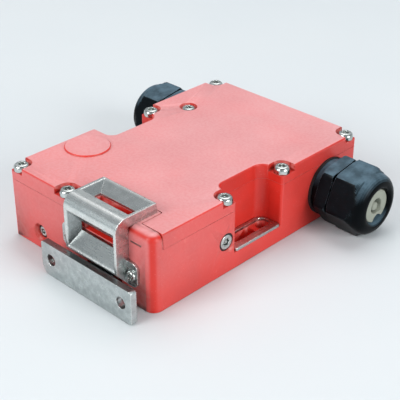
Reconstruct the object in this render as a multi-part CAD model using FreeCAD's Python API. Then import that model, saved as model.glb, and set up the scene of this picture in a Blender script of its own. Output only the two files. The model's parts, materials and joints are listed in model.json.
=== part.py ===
"""Tongue operated safety interlock switch with guard locking.

Everything is drawn with the mounting face at z = 0, the entry face at y = 0
and the long side along +Y. Each piece is moved back along Y when it is saved,
so the origin of the files lies midway between the two round mounting holes.
"""
import FreeCAD, Part
import math
import os

V = FreeCAD.Vector

# Housing
LENGTH = 146.0
HALF_WIDTH = 50.0
TOP = 40.0
BASE_TOP = 32.0
JOINT_GAP = 0.35
WALL = 3.0
FLOOR = 3.0
LID = 2.6
CORNER = 1.5
ENTRY_CORNER = 5.0
TOP_EDGE = 1.2

# Side notches, their flanges and wear plates
NOTCH_DEEP = 13.4
NOTCH_X = HALF_WIDTH - NOTCH_DEEP
NOTCH_FRONT = 54.0
NOTCH_REAR = 87.0
NOTCH_R_FRONT = 4.5
NOTCH_R_REAR = 6.0
NOTCH_LIP_R = 1.5
FLANGE = 8.8
WEAR_PLATE = 1.5
WEAR_GAP = 0.5
MOUNT_INSET = 7.6
MOUNT_X = HALF_WIDTH - MOUNT_INSET
MOUNT_HOLE_Y = 81.0
MOUNT_HOLE_R = 3.15
MOUNT_SLOT_FRONT = 58.0
MOUNT_SLOT_REAR = 75.0
WEAR_WINDOW_R = 3.5
WEAR_WINDOW_END = 1.3

# Head block
HEAD_LEFT = -6.3
HEAD_DEPTH = 6.3
BOSS_LEFT = -1.5
BOSS_RIGHT = 36.5
BOSS_DEPTH = 19.0
HEAD_EDGE = 4.0
HEAD_SLIT = (36.0, 43.0)
HEAD_SLIT_Z = 33.0
HEAD_SLIT_HEIGHT = 1.0
HEAD_SLIT_DEEP = 1.5

# Tongue ways and cam chamber
ENTRY_X = 17.5
CAM_Y = 18.0
CAM_Z = 19.2
WAY_OFFSET = 10.0
MOUTH_HEIGHT = 4.4
MOUTH_WIDTH = 24.0
MOUTH_DEEP = 8.0
WAY_HEIGHT = 3.6
CHAMBER_WIDTH = 19.0
CHAMBER_R = 10.8
CHAMBER_END = 31.0
PLUNGER_WALL = 3.0

# Cover screws, with the direction of the corner each one sits in
SCREW_SIDES = 12
SCREW_INSET = 4.0
SCREW_HEAD_R = 3.9
SCREW_HOLE_R = 2.2
SCREW_HEAD = 3.2
SEAT_R = 5.2
SEAT_Z = 36.4
POCKET_R = 4.9
BOSS_R = 4.3
PILOT_R = 1.65
PILOT_DEEP = 14.0
CORNER_SCREWS = [
    (-HALF_WIDTH + SCREW_INSET, SCREW_INSET, -1, -1),
    (HEAD_LEFT - 0.7 - SCREW_INSET, SCREW_INSET, 1, -1),
    (-HALF_WIDTH + SCREW_INSET, NOTCH_REAR + SCREW_INSET, -1, -1),
    (HALF_WIDTH - SCREW_INSET, NOTCH_REAR + SCREW_INSET, 1, -1),
    (HALF_WIDTH - SCREW_INSET, NOTCH_FRONT - SCREW_INSET, 1, 1),
    (-HALF_WIDTH + SCREW_INSET, LENGTH - SCREW_INSET, -1, 1),
    (HALF_WIDTH - SCREW_INSET, LENGTH - SCREW_INSET, 1, 1),
]
POCKET_INSET = 39.0
POCKET_SCREW = (-33.5, LENGTH - POCKET_INSET)

# Blank disc on the cover
DISC = (-36.4, 37.9)
DISC_R = 11.7
DISC_RISE = 0.9

# Gasket
GASKET_OUT = 0.9
GASKET_WIDE = 1.2
GASKET_TOP = 33.4

# Funnel guide
GUIDE_HALF = 17.5
GUIDE_SHEET = 1.5
GUIDE_OUT = 7.7
GUIDE_BOTTOM = 11.2
GUIDE_CHIN = 18.2
GUIDE_ROLL_R = 6.0
GUIDE_TOP = 45.2
GUIDE_REAR = 17.0
GUIDE_FOOT = 17.7
WINDOW_HALF = 12.3
FUNNEL_LAND = 0.6
FUNNEL_FRONT = 1.6
FRONT_WINDOW = (26.6, 31.4)
TOP_WINDOW = (5.7, 10.3)
WINDOW_Y = -1.9
WINDOW_Z = 41.2
EARS = [(35.0, 41.4, 10.9, 23.3, 38.0, 16.8), (-10.0, 0.0, 12.9, 25.1, -5.6, 18.6)]
EAR_R = 3.0
EAR_SCREW_R = 2.4

# Actuator
PLATE_HALF = 31.0
PLATE_FRONT = -12.0
PLATE_BACK = -8.6
PLATE_HEIGHT = 17.5
PLATE_HOLE_X = 24.2
PLATE_HOLE_R = 3.0
PLATE_CORNER = 5.0
BLADE_HALF = 8.2
BLADE_THICK = 3.0
BLADE_TIP = 26.5
BLADE_WINDOW_HALF = 4.1
BLADE_WINDOW = (14.4, 21.6)

# Cam
HUB_R = 8.0
TOOTH_R = 10.4
TOOTH_HALF = 3.2
TOOTH_ROOT = 2.5
TOOTH_TIP = 1.6
HUB_X = (13.2, 26.6)
SNAIL_X = (8.4, 12.4)
SNAIL_LOW = 4.0
SNAIL_RISE = 5.0
SNAIL_SWEEP = 195.0
SNAIL_GAP = 0.3
SNAIL_STEP = 8
COLLAR_R = 3.6
SHAFT_R = 2.0
SHAFT_FIT = 0.05
SHAFT_X = (3.0, 31.0)

# Plunger and contacts
ROD_X = 10.6
ROD_R = 2.3
ROD_FIT = 0.05
NOSE_HALF = 0.9
NOSE_END = 27.0
ROD_END = 70.0
ROD_NOTCH = (36.0, 47.0)
ROD_NOTCH_X = 11.4
BAR_Y = (67.0, 70.0)
BAR_HALF = 9.8
BAR_Z = (16.7, 21.7)
BRIDGE = 0.6
CONTACT_Y = (60.0, 84.0)
CONTACT_TOP = 31.0
CONTACT_INNER = 3.0
CONTACT_GAP = 4.6
CONTACT_OUTER = NOTCH_X - WALL - CONTACT_GAP - ROD_X
CONTACT_GROOVE = 4.0
CONTACT_GROOVE_FLOOR = 28.0
CONTACT_SLOT_X = 10.8
CONTACT_SLOT_Y = (64.0, 78.0)
CONTACT_SLOT_Z = (15.0, 23.4)
STUD_R = 0.9

# Locking solenoid
LOCK_Y = 44.0
BOLT_R = 2.4
BOLT_TIP = 8.1
ARMATURE_R = 4.0
ARMATURE_X = (-31.0, -12.0)
COIL_X = (-29.6, -8.4)
COIL_R = 8.6
FRAME_X = (-32.0, -6.0)
FRAME_SHEET = 2.0
FRAME_HALF = 9.8
SOLENOID_GAP = 0.3

# Release screws
RELEASE_HEAD = 3.0
RELEASE_FIT = 0.05
RELEASE_BOSS = 9.0
RELEASE_BOSS_WALL = 2.3
RELEASE_SET_BACK = 0.4
SIDE_RELEASE = (NOTCH_FRONT - 6.5, 17.35)
SIDE_RELEASE_R = (3.75, 4.7, 2.5)
SIDE_RELEASE_END = 14.6
FRONT_RELEASE = (-29.8, 9.0)
FRONT_RELEASE_R = (2.6, 3.5, 1.9)
FRONT_RELEASE_END = 30.0
FRONT_DISH_R = 5.0
FRONT_DISH = 1.2
SEAL_BACK = 0.5
SEAL_HIGH = 1.8

# Terminals
TERMINAL_X = (-26.0, 34.0)
TERMINAL_Y = (92.0, 108.0)
TERMINAL_TOP = 18.0
POLES = 9
POLE_PITCH = 6.6
POLE_HALF = 2.4
TERMINAL_SCREW_R = 2.0
TERMINAL_SCREW_Y = 99.0
TERMINAL_WELL = 11.0
TERMINAL_SCREW = 4.0
TERMINAL_SLOT = (0.35, 1.0)

# Cable glands
GLAND_INSET = 22.5
GLAND_Y = LENGTH - GLAND_INSET
GLAND_Z = 17.6
GLAND_CORNER_R = 18.6
GLAND_WASHER_R = 15.4
GLAND_COLLAR_R = 14.8
GLAND_WASHER = 1.4
GLAND_HEX_START = 4.8
GLAND_HEX_END = 12.0
GLAND_NUT_START = 13.0
GLAND_NUT_END = 32.5
GLAND_NUT_FLATS = 12.5
GLAND_NUT_THREAD = 9.0
GLAND_RIM_R = 16.4
GLAND_THREAD_R = 12.3
GLAND_HOLE_R = 12.6
GLAND_BORE_R = 9.4
GLAND_NUT_BORE_R = 8.9
GLAND_INSIDE = 9.0
GLAND_TURN = 8.5
GLAND_LIP = 1.6
LOCKNUT_R = 14.3
LOCKNUT = 2.8
SEAL_HOLE_R = 2.2
LEFT_NUT_SHIFT = -0.8


def place(axis, u, v, w):
    """Point with (u, v) across the axis and w along it."""
    if axis == "x":
        return V(w, u, v)
    if axis == "y":
        return V(u, w, v)
    return V(u, v, w)


def direction(axis, length):
    """Vector of the given length along the axis."""
    return place(axis, 0, 0, length)


def outline(corners, axis, level):
    """Closed wire through (u, v, radius) corners, each corner rounded."""
    ends = []
    edges = []
    count = len(corners)
    for index, (u, v, radius) in enumerate(corners):
        here = V(u, v, 0)
        back = V(*corners[index - 1][:2], 0) - here
        ahead = V(*corners[(index + 1) % count][:2], 0) - here
        back.normalize()
        ahead.normalize()
        if radius <= 0:
            ends.append((here, None, here))
            continue
        half = back.getAngle(ahead) / 2
        middle = back + ahead
        middle.normalize()
        reach = radius / math.tan(half)
        crown = here + middle * (radius / math.sin(half) - radius)
        ends.append((here + back * reach, crown, here + ahead * reach))
    for index, (start, crown, stop) in enumerate(ends):
        points = [p and place(axis, p.x, p.y, level) for p in (start, crown, stop)]
        if crown:
            edges.append(Part.Arc(*points).toShape())
        following = ends[(index + 1) % count][0]
        target = place(axis, following.x, following.y, level)
        if points[2].distanceToPoint(target) > 1e-6:
            edges.append(Part.makeLine(points[2], target))
    return Part.Wire(edges)


def slab(corners, axis, start, end):
    """Prism over a rounded outline between two levels along an axis."""
    face = Part.Face(outline(corners, axis, start))
    return face.extrude(direction(axis, end - start))


def sharp(points):
    """The same points as corners without rounding."""
    return [(u, v, 0) for u, v in points]


def block(x, y, z):
    """Box between pairs of limits."""
    size = (x[1] - x[0], y[1] - y[0], z[1] - z[0])
    return Part.makeBox(*size, V(x[0], y[0], z[0]))


def rod(radius, axis, centre, start, end):
    """Cylinder about an axis through a centre (u, v) between two levels."""
    base = place(axis, centre[0], centre[1], start)
    return Part.makeCylinder(radius, end - start, base, direction(axis, 1))


def turned(profile, axis, centre):
    """Solid turned about an axis from (radius, level) points."""
    points = [V(radius, 0, level) for radius, level in profile]
    wire = Part.makePolygon(points + points[:1])
    solid = Part.Face(wire).revolve(V(0, 0, 0), V(0, 0, 1), 360)
    turn = FreeCAD.Rotation(V(0, 0, 1), direction(axis, 1))
    solid.Placement = FreeCAD.Placement(place(axis, centre[0], centre[1], 0), turn)
    return solid


def ring(sides, radius, axis, centre, level, turn=0):
    """Corners of a regular polygon about an axis, turned by an angle in degrees."""
    points = []
    for side in range(sides):
        angle = math.radians(360 / sides * side + turn)
        u = centre[0] + radius * math.cos(angle)
        v = centre[1] + radius * math.sin(angle)
        points.append(place(axis, u, v, level))
    return points


def prism(sides, radius, axis, centre, start, end, turn=0):
    """Regular prism with its corners on a radius."""
    return funnel(ring(sides, radius, axis, centre, start, turn),
                  ring(sides, radius, axis, centre, end, turn))


def funnel(first, second):
    """Straight sided solid between two polygons with as many corners each."""
    wires = [Part.makePolygon([V(*p) for p in rim + rim[:1]]) for rim in (first, second)]
    return Part.makeLoft(wires, True, True)


def joined(shapes):
    """All shapes fused into one, with merged faces."""
    return shapes[0].multiFuse(shapes[1:]).removeSplitter()


def mirrored(shape):
    """The same shape on the other side of the middle plane."""
    return shape.mirror(V(0, 0, 0), V(1, 0, 0))


def body_corners():
    """Plan outline of the housing, notches on both sides."""
    right = [
        (HALF_WIDTH, NOTCH_FRONT, NOTCH_LIP_R),
        (NOTCH_X, NOTCH_FRONT, NOTCH_R_FRONT),
        (NOTCH_X, NOTCH_REAR, NOTCH_R_REAR),
        (HALF_WIDTH, NOTCH_REAR, NOTCH_LIP_R),
        (HALF_WIDTH, LENGTH, CORNER),
    ]
    left = [(-x, y, radius) for x, y, radius in reversed(right)]
    front = [(-HALF_WIDTH, 0, CORNER), (HALF_WIDTH, 0, ENTRY_CORNER)]
    return front + right + left


def head_corners():
    """Plan outline of the head block, a bar with a boss behind it."""
    return [
        (HEAD_LEFT, 0, 0),
        (HALF_WIDTH, 0, ENTRY_CORNER),
        (HALF_WIDTH, HEAD_DEPTH, 0),
        (BOSS_RIGHT, HEAD_DEPTH, 0),
        (BOSS_RIGHT, BOSS_DEPTH, 1),
        (BOSS_LEFT, BOSS_DEPTH, 1),
        (BOSS_LEFT, HEAD_DEPTH, 0),
        (HEAD_LEFT, HEAD_DEPTH, 0),
    ]


def cover_corners():
    """Plan outline of the cover: the housing less the head block and its gap."""
    return [
        (-HALF_WIDTH, 0, CORNER),
        (HEAD_LEFT - JOINT_GAP, 0, 0),
        (HEAD_LEFT - JOINT_GAP, HEAD_DEPTH + JOINT_GAP, 0),
        (BOSS_LEFT - JOINT_GAP, HEAD_DEPTH + JOINT_GAP, 0),
        (BOSS_LEFT - JOINT_GAP, BOSS_DEPTH + JOINT_GAP, 1),
        (BOSS_RIGHT + JOINT_GAP, BOSS_DEPTH + JOINT_GAP, 1),
        (BOSS_RIGHT + JOINT_GAP, HEAD_DEPTH + JOINT_GAP, 0),
        (HALF_WIDTH, HEAD_DEPTH + JOINT_GAP, 0),
    ] + body_corners()[2:]


def inset(corners, distance, start, end):
    """Prism over a rounded outline drawn in by a distance."""
    face = Part.Face(outline(corners, "z", start))
    return face.makeOffset2D(-distance).extrude(V(0, 0, end - start))


def top_edges(solid, level, keep):
    """Edges at a level whose middle passes the keep test."""
    edges = []
    for edge in solid.Edges:
        box = edge.BoundBox
        if abs(box.ZMin - level) < 1e-4 and abs(box.ZMax - level) < 1e-4:
            if keep(edge.CenterOfMass):
                edges.append(edge)
    return edges


def screw_places():
    """Centres of all cover screws."""
    return [(x, y) for x, y, _, _ in CORNER_SCREWS] + [POCKET_SCREW]


def obround(radius, front, rear, start, end):
    """Upright slot cutter at the mounting line, rounded at both ends."""
    corners = []
    for x, y in [(-1, front), (1, front), (1, rear), (-1, rear)]:
        corners.append((MOUNT_X + x * radius, y, radius * 0.9999))
    return slab(corners, "z", start, end)


def head_block():
    """Head block with rounded outer top edges and the slit in its face."""
    head = slab(head_corners(), "z", 0, TOP)
    outer = top_edges(head, TOP, lambda p: p.y < 2 or p.x > HALF_WIDTH - 2)
    head = head.makeFillet(HEAD_EDGE, outer)
    slit = block(HEAD_SLIT, (-1, HEAD_SLIT_DEEP), (HEAD_SLIT_Z, HEAD_SLIT_Z + HEAD_SLIT_HEIGHT))
    return head.cut(slit)


def tongue_ways():
    """Space for the tongue: three mouths, their ways and the cam chamber."""
    half = CHAMBER_WIDTH / 2
    across = (ENTRY_X - half, ENTRY_X + half)
    mouth = (ENTRY_X - MOUTH_WIDTH / 2, ENTRY_X + MOUTH_WIDTH / 2)
    parts = [rod(CHAMBER_R, "x", (CAM_Y, CAM_Z), *across)]
    parts.append(block(across, (CAM_Y, CHAMBER_END), (CAM_Z - CHAMBER_R, CAM_Z + CHAMBER_R)))
    for level in (CAM_Z - WAY_OFFSET, CAM_Z + WAY_OFFSET):
        tall = (level - MOUTH_HEIGHT / 2, level + MOUTH_HEIGHT / 2)
        low = (level - WAY_HEIGHT / 2, level + WAY_HEIGHT / 2)
        parts.append(block(mouth, (-1, MOUTH_DEEP), tall))
        parts.append(block(across, (0, BLADE_TIP + 2), low))
    front = CAM_Y - WAY_OFFSET
    wide = (front - MOUTH_HEIGHT / 2, front + MOUTH_HEIGHT / 2)
    parts.append(block(mouth, wide, (TOP - MOUTH_DEEP, TOP + 1)))
    parts.append(block(across, (front - WAY_HEIGHT / 2, front + WAY_HEIGHT / 2),
                       (CAM_Z - WAY_OFFSET, TOP)))
    return joined(parts)


def release_bosses():
    """Material around the two release screws inside the walls."""
    side_r = SIDE_RELEASE_R[1] + RELEASE_BOSS_WALL
    front_r = FRONT_DISH_R + RELEASE_BOSS_WALL
    side = rod(side_r, "x", SIDE_RELEASE, HALF_WIDTH - RELEASE_BOSS, HALF_WIDTH - 1)
    front = rod(front_r, "y", FRONT_RELEASE, 1, RELEASE_BOSS)
    return [side, front]


def release_bores():
    """Stepped bores for the two release screws and the dish at the front one."""
    seat = RELEASE_HEAD + RELEASE_SET_BACK
    _, side_seat, side_spindle = SIDE_RELEASE_R
    _, front_seat, front_spindle = FRONT_RELEASE_R
    return [
        rod(side_seat, "x", SIDE_RELEASE, HALF_WIDTH - seat, HALF_WIDTH + 1),
        rod(side_spindle + RELEASE_FIT, "x", SIDE_RELEASE, HALF_WIDTH - RELEASE_BOSS - 1, HALF_WIDTH),
        rod(front_seat, "y", FRONT_RELEASE, -1, FRONT_DISH + seat),
        rod(front_spindle + RELEASE_FIT, "y", FRONT_RELEASE, 0, RELEASE_BOSS + 1),
        rod(FRONT_DISH_R, "y", FRONT_RELEASE, -1, FRONT_DISH),
    ]


def housing_base():
    """Moulded base with flanges, screw bosses, head block and inner ribs."""
    plain = [(-HALF_WIDTH, 0, CORNER), (HALF_WIDTH, 0, ENTRY_CORNER),
             (HALF_WIDTH, LENGTH, CORNER), (-HALF_WIDTH, LENGTH, CORNER)]
    envelope = slab(body_corners(), "z", 0, BASE_TOP)
    shell = envelope.fuse(slab(plain, "z", 0, FLANGE))
    shell = shell.fuse(head_block())
    shell = shell.cut(inset(cover_corners(), WALL, FLOOR, BASE_TOP + 1))
    bosses = [rod(BOSS_R, "z", centre, FLOOR, BASE_TOP) for centre in screw_places()]
    side = CHAMBER_WIDTH / 2 + PLUNGER_WALL
    bosses.append(block((ENTRY_X - side, ENTRY_X + side),
                        (BOSS_DEPTH - 1, CHAMBER_END + PLUNGER_WALL), (FLOOR, BASE_TOP)))
    bosses.append(block(FRAME_X, (LOCK_Y - 6, LOCK_Y + 6), (FLOOR, CAM_Z - FRAME_HALF)))
    inside = joined(bosses + release_bosses()).common(envelope)
    shell = shell.fuse(inside).removeSplitter()
    cutters = [tongue_ways()] + release_bores()
    for centre in screw_places():
        cutters.append(rod(PILOT_R, "z", centre, BASE_TOP - PILOT_DEEP, BASE_TOP + 1))
    cutters.append(rod(SHAFT_R + SHAFT_FIT, "x", (CAM_Y, CAM_Z), *SHAFT_X))
    cutters.append(rod(ROD_R + ROD_FIT, "y", (ROD_X, CAM_Z), CHAMBER_END - 1,
                       CHAMBER_END + PLUNGER_WALL + 1))
    for side in (-1, 1):
        gland = rod(GLAND_HOLE_R, "x", (GLAND_Y, GLAND_Z), HALF_WIDTH - WALL - 1, HALF_WIDTH + 1)
        hole = rod(MOUNT_HOLE_R, "z", (MOUNT_X, MOUNT_HOLE_Y), -1, FLANGE + 1)
        slot = obround(MOUNT_HOLE_R, MOUNT_SLOT_FRONT, MOUNT_SLOT_REAR, -1, FLANGE + 1)
        for cutter in (gland, hole, slot):
            cutters.append(cutter if side > 0 else mirrored(cutter))
    return shell.cut(cutters)


def housing_parts():
    """The base in simple pieces that meet face to face around head and notches."""
    base = housing_base()
    edge = NOTCH_FRONT + NOTCH_R_FRONT
    far = NOTCH_REAR - NOTCH_R_REAR
    head = block((HEAD_LEFT, HALF_WIDTH), (0, CHAMBER_END + PLUNGER_WALL), (0, TOP))
    flange = block((NOTCH_X, HALF_WIDTH), (NOTCH_FRONT, NOTCH_REAR), (0, FLANGE))
    flanges = [flange, mirrored(flange)]
    front = block((-HALF_WIDTH, HALF_WIDTH), (0, edge), (0, TOP))
    waist = block((-HALF_WIDTH, HALF_WIDTH), (edge, far), (0, TOP))
    rear = block((-HALF_WIDTH, HALF_WIDTH), (far, LENGTH), (0, TOP))
    return {
        "housing_head": base.common(head),
        "housing_front": base.common(front.cut([head] + flanges)),
        "housing_waist": base.common(waist.cut(flanges)),
        "housing_rear": base.common(rear.cut(flanges)),
        "side_flange_right": base.common(flanges[0]),
        "side_flange_left": base.common(flanges[1]),
    }


def cover_parts():
    """The cover in three pieces that meet face to face beside the notches."""
    lid = cover()
    edge = NOTCH_FRONT + NOTCH_R_FRONT
    far = NOTCH_REAR - NOTCH_R_REAR
    across = (-HALF_WIDTH, HALF_WIDTH)
    levels = (0, TOP + DISC_RISE)
    return {
        "cover_front": lid.common(block(across, (0, edge), levels)),
        "cover_waist": lid.common(block(across, (edge, far), levels)),
        "cover_rear": lid.common(block(across, (far, LENGTH), levels)),
    }


def screw_seat(x, y, toward_x, toward_y):
    """Cutter for a screw recess that runs out through a corner."""
    reach = SEAT_R * 1.6
    xs = sorted((x, x + toward_x * reach))
    ys = sorted((y, y + toward_y * reach))
    levels = (SEAT_Z, TOP + 1)
    sweep_x = block(xs, (y - SEAT_R, y + SEAT_R), levels)
    sweep_y = block((x - SEAT_R, x + SEAT_R), ys, levels)
    return rod(SEAT_R, "z", (x, y), *levels).fuse(sweep_x).fuse(sweep_y)


def cover():
    """Lid with a hollow underside, screw recesses, gasket groove and blank disc."""
    bottom = BASE_TOP + JOINT_GAP
    lid = slab(cover_corners(), "z", bottom, TOP)
    clear_x = BOSS_RIGHT + JOINT_GAP + 0.5
    near = BOSS_DEPTH + JOINT_GAP + 0.5

    def is_outer(point):
        beside = HEAD_LEFT - JOINT_GAP - 0.5 < point.x < clear_x and point.y < near
        return not beside and not (point.x >= clear_x and point.y < HEAD_DEPTH + 1)

    lid = lid.makeFillet(TOP_EDGE, top_edges(lid, TOP, is_outer))
    envelope = lid.copy()
    lid = lid.cut(inset(cover_corners(), WALL, bottom - 1, TOP - LID))
    posts = [rod(SEAT_R + 1.2, "z", centre, bottom, TOP - 1) for centre in screw_places()]
    lid = lid.fuse(joined(posts).common(envelope)).removeSplitter()
    cutters = [screw_seat(*place_at) for place_at in CORNER_SCREWS]
    cutters.append(rod(POCKET_R, "z", POCKET_SCREW, SEAT_Z, TOP + 1))
    for centre in screw_places():
        cutters.append(rod(SCREW_HOLE_R, "z", centre, bottom - 1, SEAT_Z + 1))
    groove = inset(cover_corners(), GASKET_OUT, bottom - 1, GASKET_TOP)
    cutters.append(groove.cut(inset(cover_corners(), GASKET_OUT + GASKET_WIDE, bottom - 2, TOP)))
    lid = lid.cut(cutters)
    disc = turned([(0, TOP - 1), (DISC_R, TOP - 1), (DISC_R, TOP + DISC_RISE - 0.4),
                   (DISC_R - 0.4, TOP + DISC_RISE), (0, TOP + DISC_RISE)], "z", DISC)
    return lid.fuse(disc)


def cover_gasket():
    """Flat cord of rubber that follows the wall between base and cover."""
    ring = inset(cover_corners(), GASKET_OUT, BASE_TOP, GASKET_TOP)
    core = inset(cover_corners(), GASKET_OUT + GASKET_WIDE, BASE_TOP - 1, GASKET_TOP + 1)
    return ring.cut(core)


def pan_screw(centre, axis, seat, head_r, head, shank_r, shank):
    """Plain many sided pan head screw on a seat, with a shank that goes inward."""
    middle, top = seat + head * 0.4, seat + head
    crown = funnel(ring(SCREW_SIDES, head_r, axis, centre, middle),
                   ring(SCREW_SIDES, head_r * 0.65, axis, centre, top))
    rim = prism(SCREW_SIDES, head_r, axis, centre, seat, middle)
    pin = prism(SCREW_SIDES, shank_r, axis, centre, seat - shank, seat)
    return joined([rim, crown, pin])


def cover_screws():
    """The eight cover screws as separate solids."""
    screws = []
    for centre in screw_places():
        shank = SEAT_Z - BASE_TOP + PILOT_DEEP - 3
        screw = pan_screw(centre, "z", SEAT_Z, SCREW_HEAD_R, SCREW_HEAD, PILOT_R - 0.05, shank)
        screws.append(screw)
    return Part.makeCompound(screws)


def guide_side():
    """Side outline of the guide: chin, front edge, roll, top and rear foot."""
    chin = V(0, -GUIDE_OUT, GUIDE_CHIN)
    front = V(0, -GUIDE_OUT, GUIDE_TOP - GUIDE_ROLL_R)
    crown = V(0, GUIDE_ROLL_R - GUIDE_OUT, GUIDE_TOP)
    swing = GUIDE_ROLL_R * (1 - math.sqrt(0.5))
    middle = V(0, -GUIDE_OUT + swing, GUIDE_TOP - swing)
    edges = [Part.Arc(front, middle, crown).toShape()]
    rest = [crown, V(0, GUIDE_REAR, GUIDE_TOP), V(0, GUIDE_FOOT, TOP), V(0, 0, TOP),
            V(0, 0, GUIDE_BOTTOM), V(0, -GUIDE_SHEET, GUIDE_BOTTOM), chin, front]
    for start, end in zip(rest, rest[1:]):
        edges.append(Part.makeLine(start, end))
    return Part.Wire(edges)


def rectangle_y(half, low, high, y):
    """Four corners of an upright rectangle across the entry axis."""
    left, right = ENTRY_X - half, ENTRY_X + half
    return [(left, y, low), (right, y, low), (right, y, high), (left, y, high)]


def rectangle_z(half, front, rear, z):
    """Four corners of a level rectangle across the entry axis."""
    left, right = ENTRY_X - half, ENTRY_X + half
    return [(left, front, z), (right, front, z), (right, rear, z), (left, rear, z)]


def guide_funnels():
    """The front and the top funnel, each from its rim down to its window."""
    rim = GUIDE_HALF - GUIDE_SHEET
    brow = GUIDE_TOP - GUIDE_ROLL_R - FUNNEL_LAND
    front = funnel(rectangle_y(WINDOW_HALF, *FRONT_WINDOW, WINDOW_Y),
                   rectangle_y(rim, GUIDE_CHIN + FUNNEL_LAND, brow, -GUIDE_OUT - 0.01))
    top = funnel(rectangle_z(WINDOW_HALF, *TOP_WINDOW, WINDOW_Z),
                 rectangle_z(rim, FUNNEL_FRONT, GUIDE_REAR - FUNNEL_LAND, GUIDE_TOP + 0.01))
    return front, top


def guide():
    """Guide with a rolled front, a funnel in its face and its top, and two ears."""
    left, right = ENTRY_X - GUIDE_HALF, ENTRY_X + GUIDE_HALF
    wire = guide_side()
    wire.translate(V(left, 0, 0))
    solid = Part.Face(wire).extrude(V(right - left, 0, 0))
    ear_parts = []
    for x0, x1, z0, z1, _, _ in EARS:
        corners = [(x0, z0, 0), (x1, z0, 0), (x1, z1, 0), (x0, z1, 0)]
        outer = 1 if x1 > ENTRY_X else 3
        for index, (u, v, _) in enumerate(corners):
            if (index in (1, 2)) == (outer == 1):
                corners[index] = (u, v, EAR_R)
        ear_parts.append(slab(corners, "y", -GUIDE_SHEET, 0))
    solid = solid.multiFuse(ear_parts)
    across = (ENTRY_X - WINDOW_HALF, ENTRY_X + WINDOW_HALF)
    cutters = list(guide_funnels())
    cutters.append(block(across, (WINDOW_Y - 0.01, 1), FRONT_WINDOW))
    cutters.append(block(across, TOP_WINDOW, (TOP - 1, WINDOW_Z + 0.01)))
    for _, _, _, _, x, z in EARS:
        cutters.append(rod(EAR_SCREW_R * 0.7, "y", (x, z), -GUIDE_SHEET - 1, 1))
    return solid.cut(cutters).removeSplitter()


def guide_screws():
    """The two pan head screws through the ears of the guide."""
    screws = []
    for _, _, _, _, x, z in EARS:
        screw = pan_screw((x, z), "y", 0, EAR_SCREW_R, 1.6, EAR_SCREW_R * 0.6, 1.2)
        screws.append(screw.mirror(V(0, 0, 0), V(0, 1, 0)))
        screws[-1].translate(V(0, -GUIDE_SHEET, 0))
    return Part.makeCompound(screws)


def actuator_plate():
    """Flat plate of the actuator with two fixing holes."""
    left, right = ENTRY_X - PLATE_HALF, ENTRY_X + PLATE_HALF
    corners = [(left, 0, PLATE_CORNER), (right, 0, 1.5),
               (right, PLATE_HEIGHT, 1.5), (left, PLATE_HEIGHT, 1.5)]
    plate = slab(corners, "y", PLATE_FRONT, PLATE_BACK)
    level = CAM_Z - WAY_OFFSET
    for side in (-1, 1):
        centre = (ENTRY_X + side * PLATE_HOLE_X, level)
        plate = plate.cut(rod(PLATE_HOLE_R, "y", centre, PLATE_FRONT - 1, PLATE_BACK + 1))
    return plate


def tongue_blade():
    """Blade that enters the head, with a window for the cam's tooth."""
    level = CAM_Z - WAY_OFFSET
    tall = (level - BLADE_THICK / 2, level + BLADE_THICK / 2)
    left, right = ENTRY_X - BLADE_HALF, ENTRY_X + BLADE_HALF
    corners = [(left, PLATE_BACK, 0), (right, PLATE_BACK, 0),
               (right, BLADE_TIP, 2.5), (left, BLADE_TIP, 2.5)]
    blade = slab(corners, "z", *tall)
    across = (ENTRY_X - BLADE_WINDOW_HALF, ENTRY_X + BLADE_WINDOW_HALF)
    return blade.cut(block(across, BLADE_WINDOW, (tall[0] - 1, tall[1] + 1)))


def snail():
    """Spiral track that pushes the plunger as the cam turns."""
    points = []
    low = SNAIL_LOW - SNAIL_GAP
    for angle in range(0, 360, SNAIL_STEP):
        if angle <= SNAIL_SWEEP:
            share = angle / SNAIL_SWEEP
        else:
            share = 0.5 + 0.5 * math.cos(math.pi * (angle - SNAIL_SWEEP) / (360 - SNAIL_SWEEP))
        radius = low + SNAIL_RISE * share
        turn = math.radians(angle)
        points.append((CAM_Y + radius * math.cos(turn), CAM_Z + radius * math.sin(turn)))
    return slab(sharp(points), "x", *SNAIL_X)


def star_cam():
    """Cam with three teeth for the tongue and a spiral track for the plunger."""
    centre = (CAM_Y, CAM_Z)
    parts = [rod(HUB_R, "x", centre, *HUB_X), rod(COLLAR_R, "x", centre, SNAIL_X[0], HUB_X[1])]
    across = (ENTRY_X - TOOTH_HALF, ENTRY_X + TOOTH_HALF)
    reach = TOOTH_R + 1
    tooth = slab(sharp([(CAM_Y - TOOTH_ROOT, CAM_Z - HUB_R + 2),
                        (CAM_Y - TOOTH_TIP, CAM_Z - reach),
                        (CAM_Y + TOOTH_TIP, CAM_Z - reach),
                        (CAM_Y + TOOTH_ROOT, CAM_Z - HUB_R + 2)]), "x", *across)
    tooth = tooth.common(rod(TOOTH_R, "x", centre, *across))
    for turn in range(3):
        other = tooth.copy()
        other.rotate(V(0, CAM_Y, CAM_Z), V(1, 0, 0), 120 * turn)
        parts.append(other)
    parts.append(snail())
    return joined(parts).cut(rod(SHAFT_R, "x", centre, *SHAFT_X))


def cam_shaft():
    """Pin through the cam that turns in the head block."""
    return rod(SHAFT_R, "x", (CAM_Y, CAM_Z), SHAFT_X[0] + 0.5, SHAFT_X[1] - 0.5)


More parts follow.
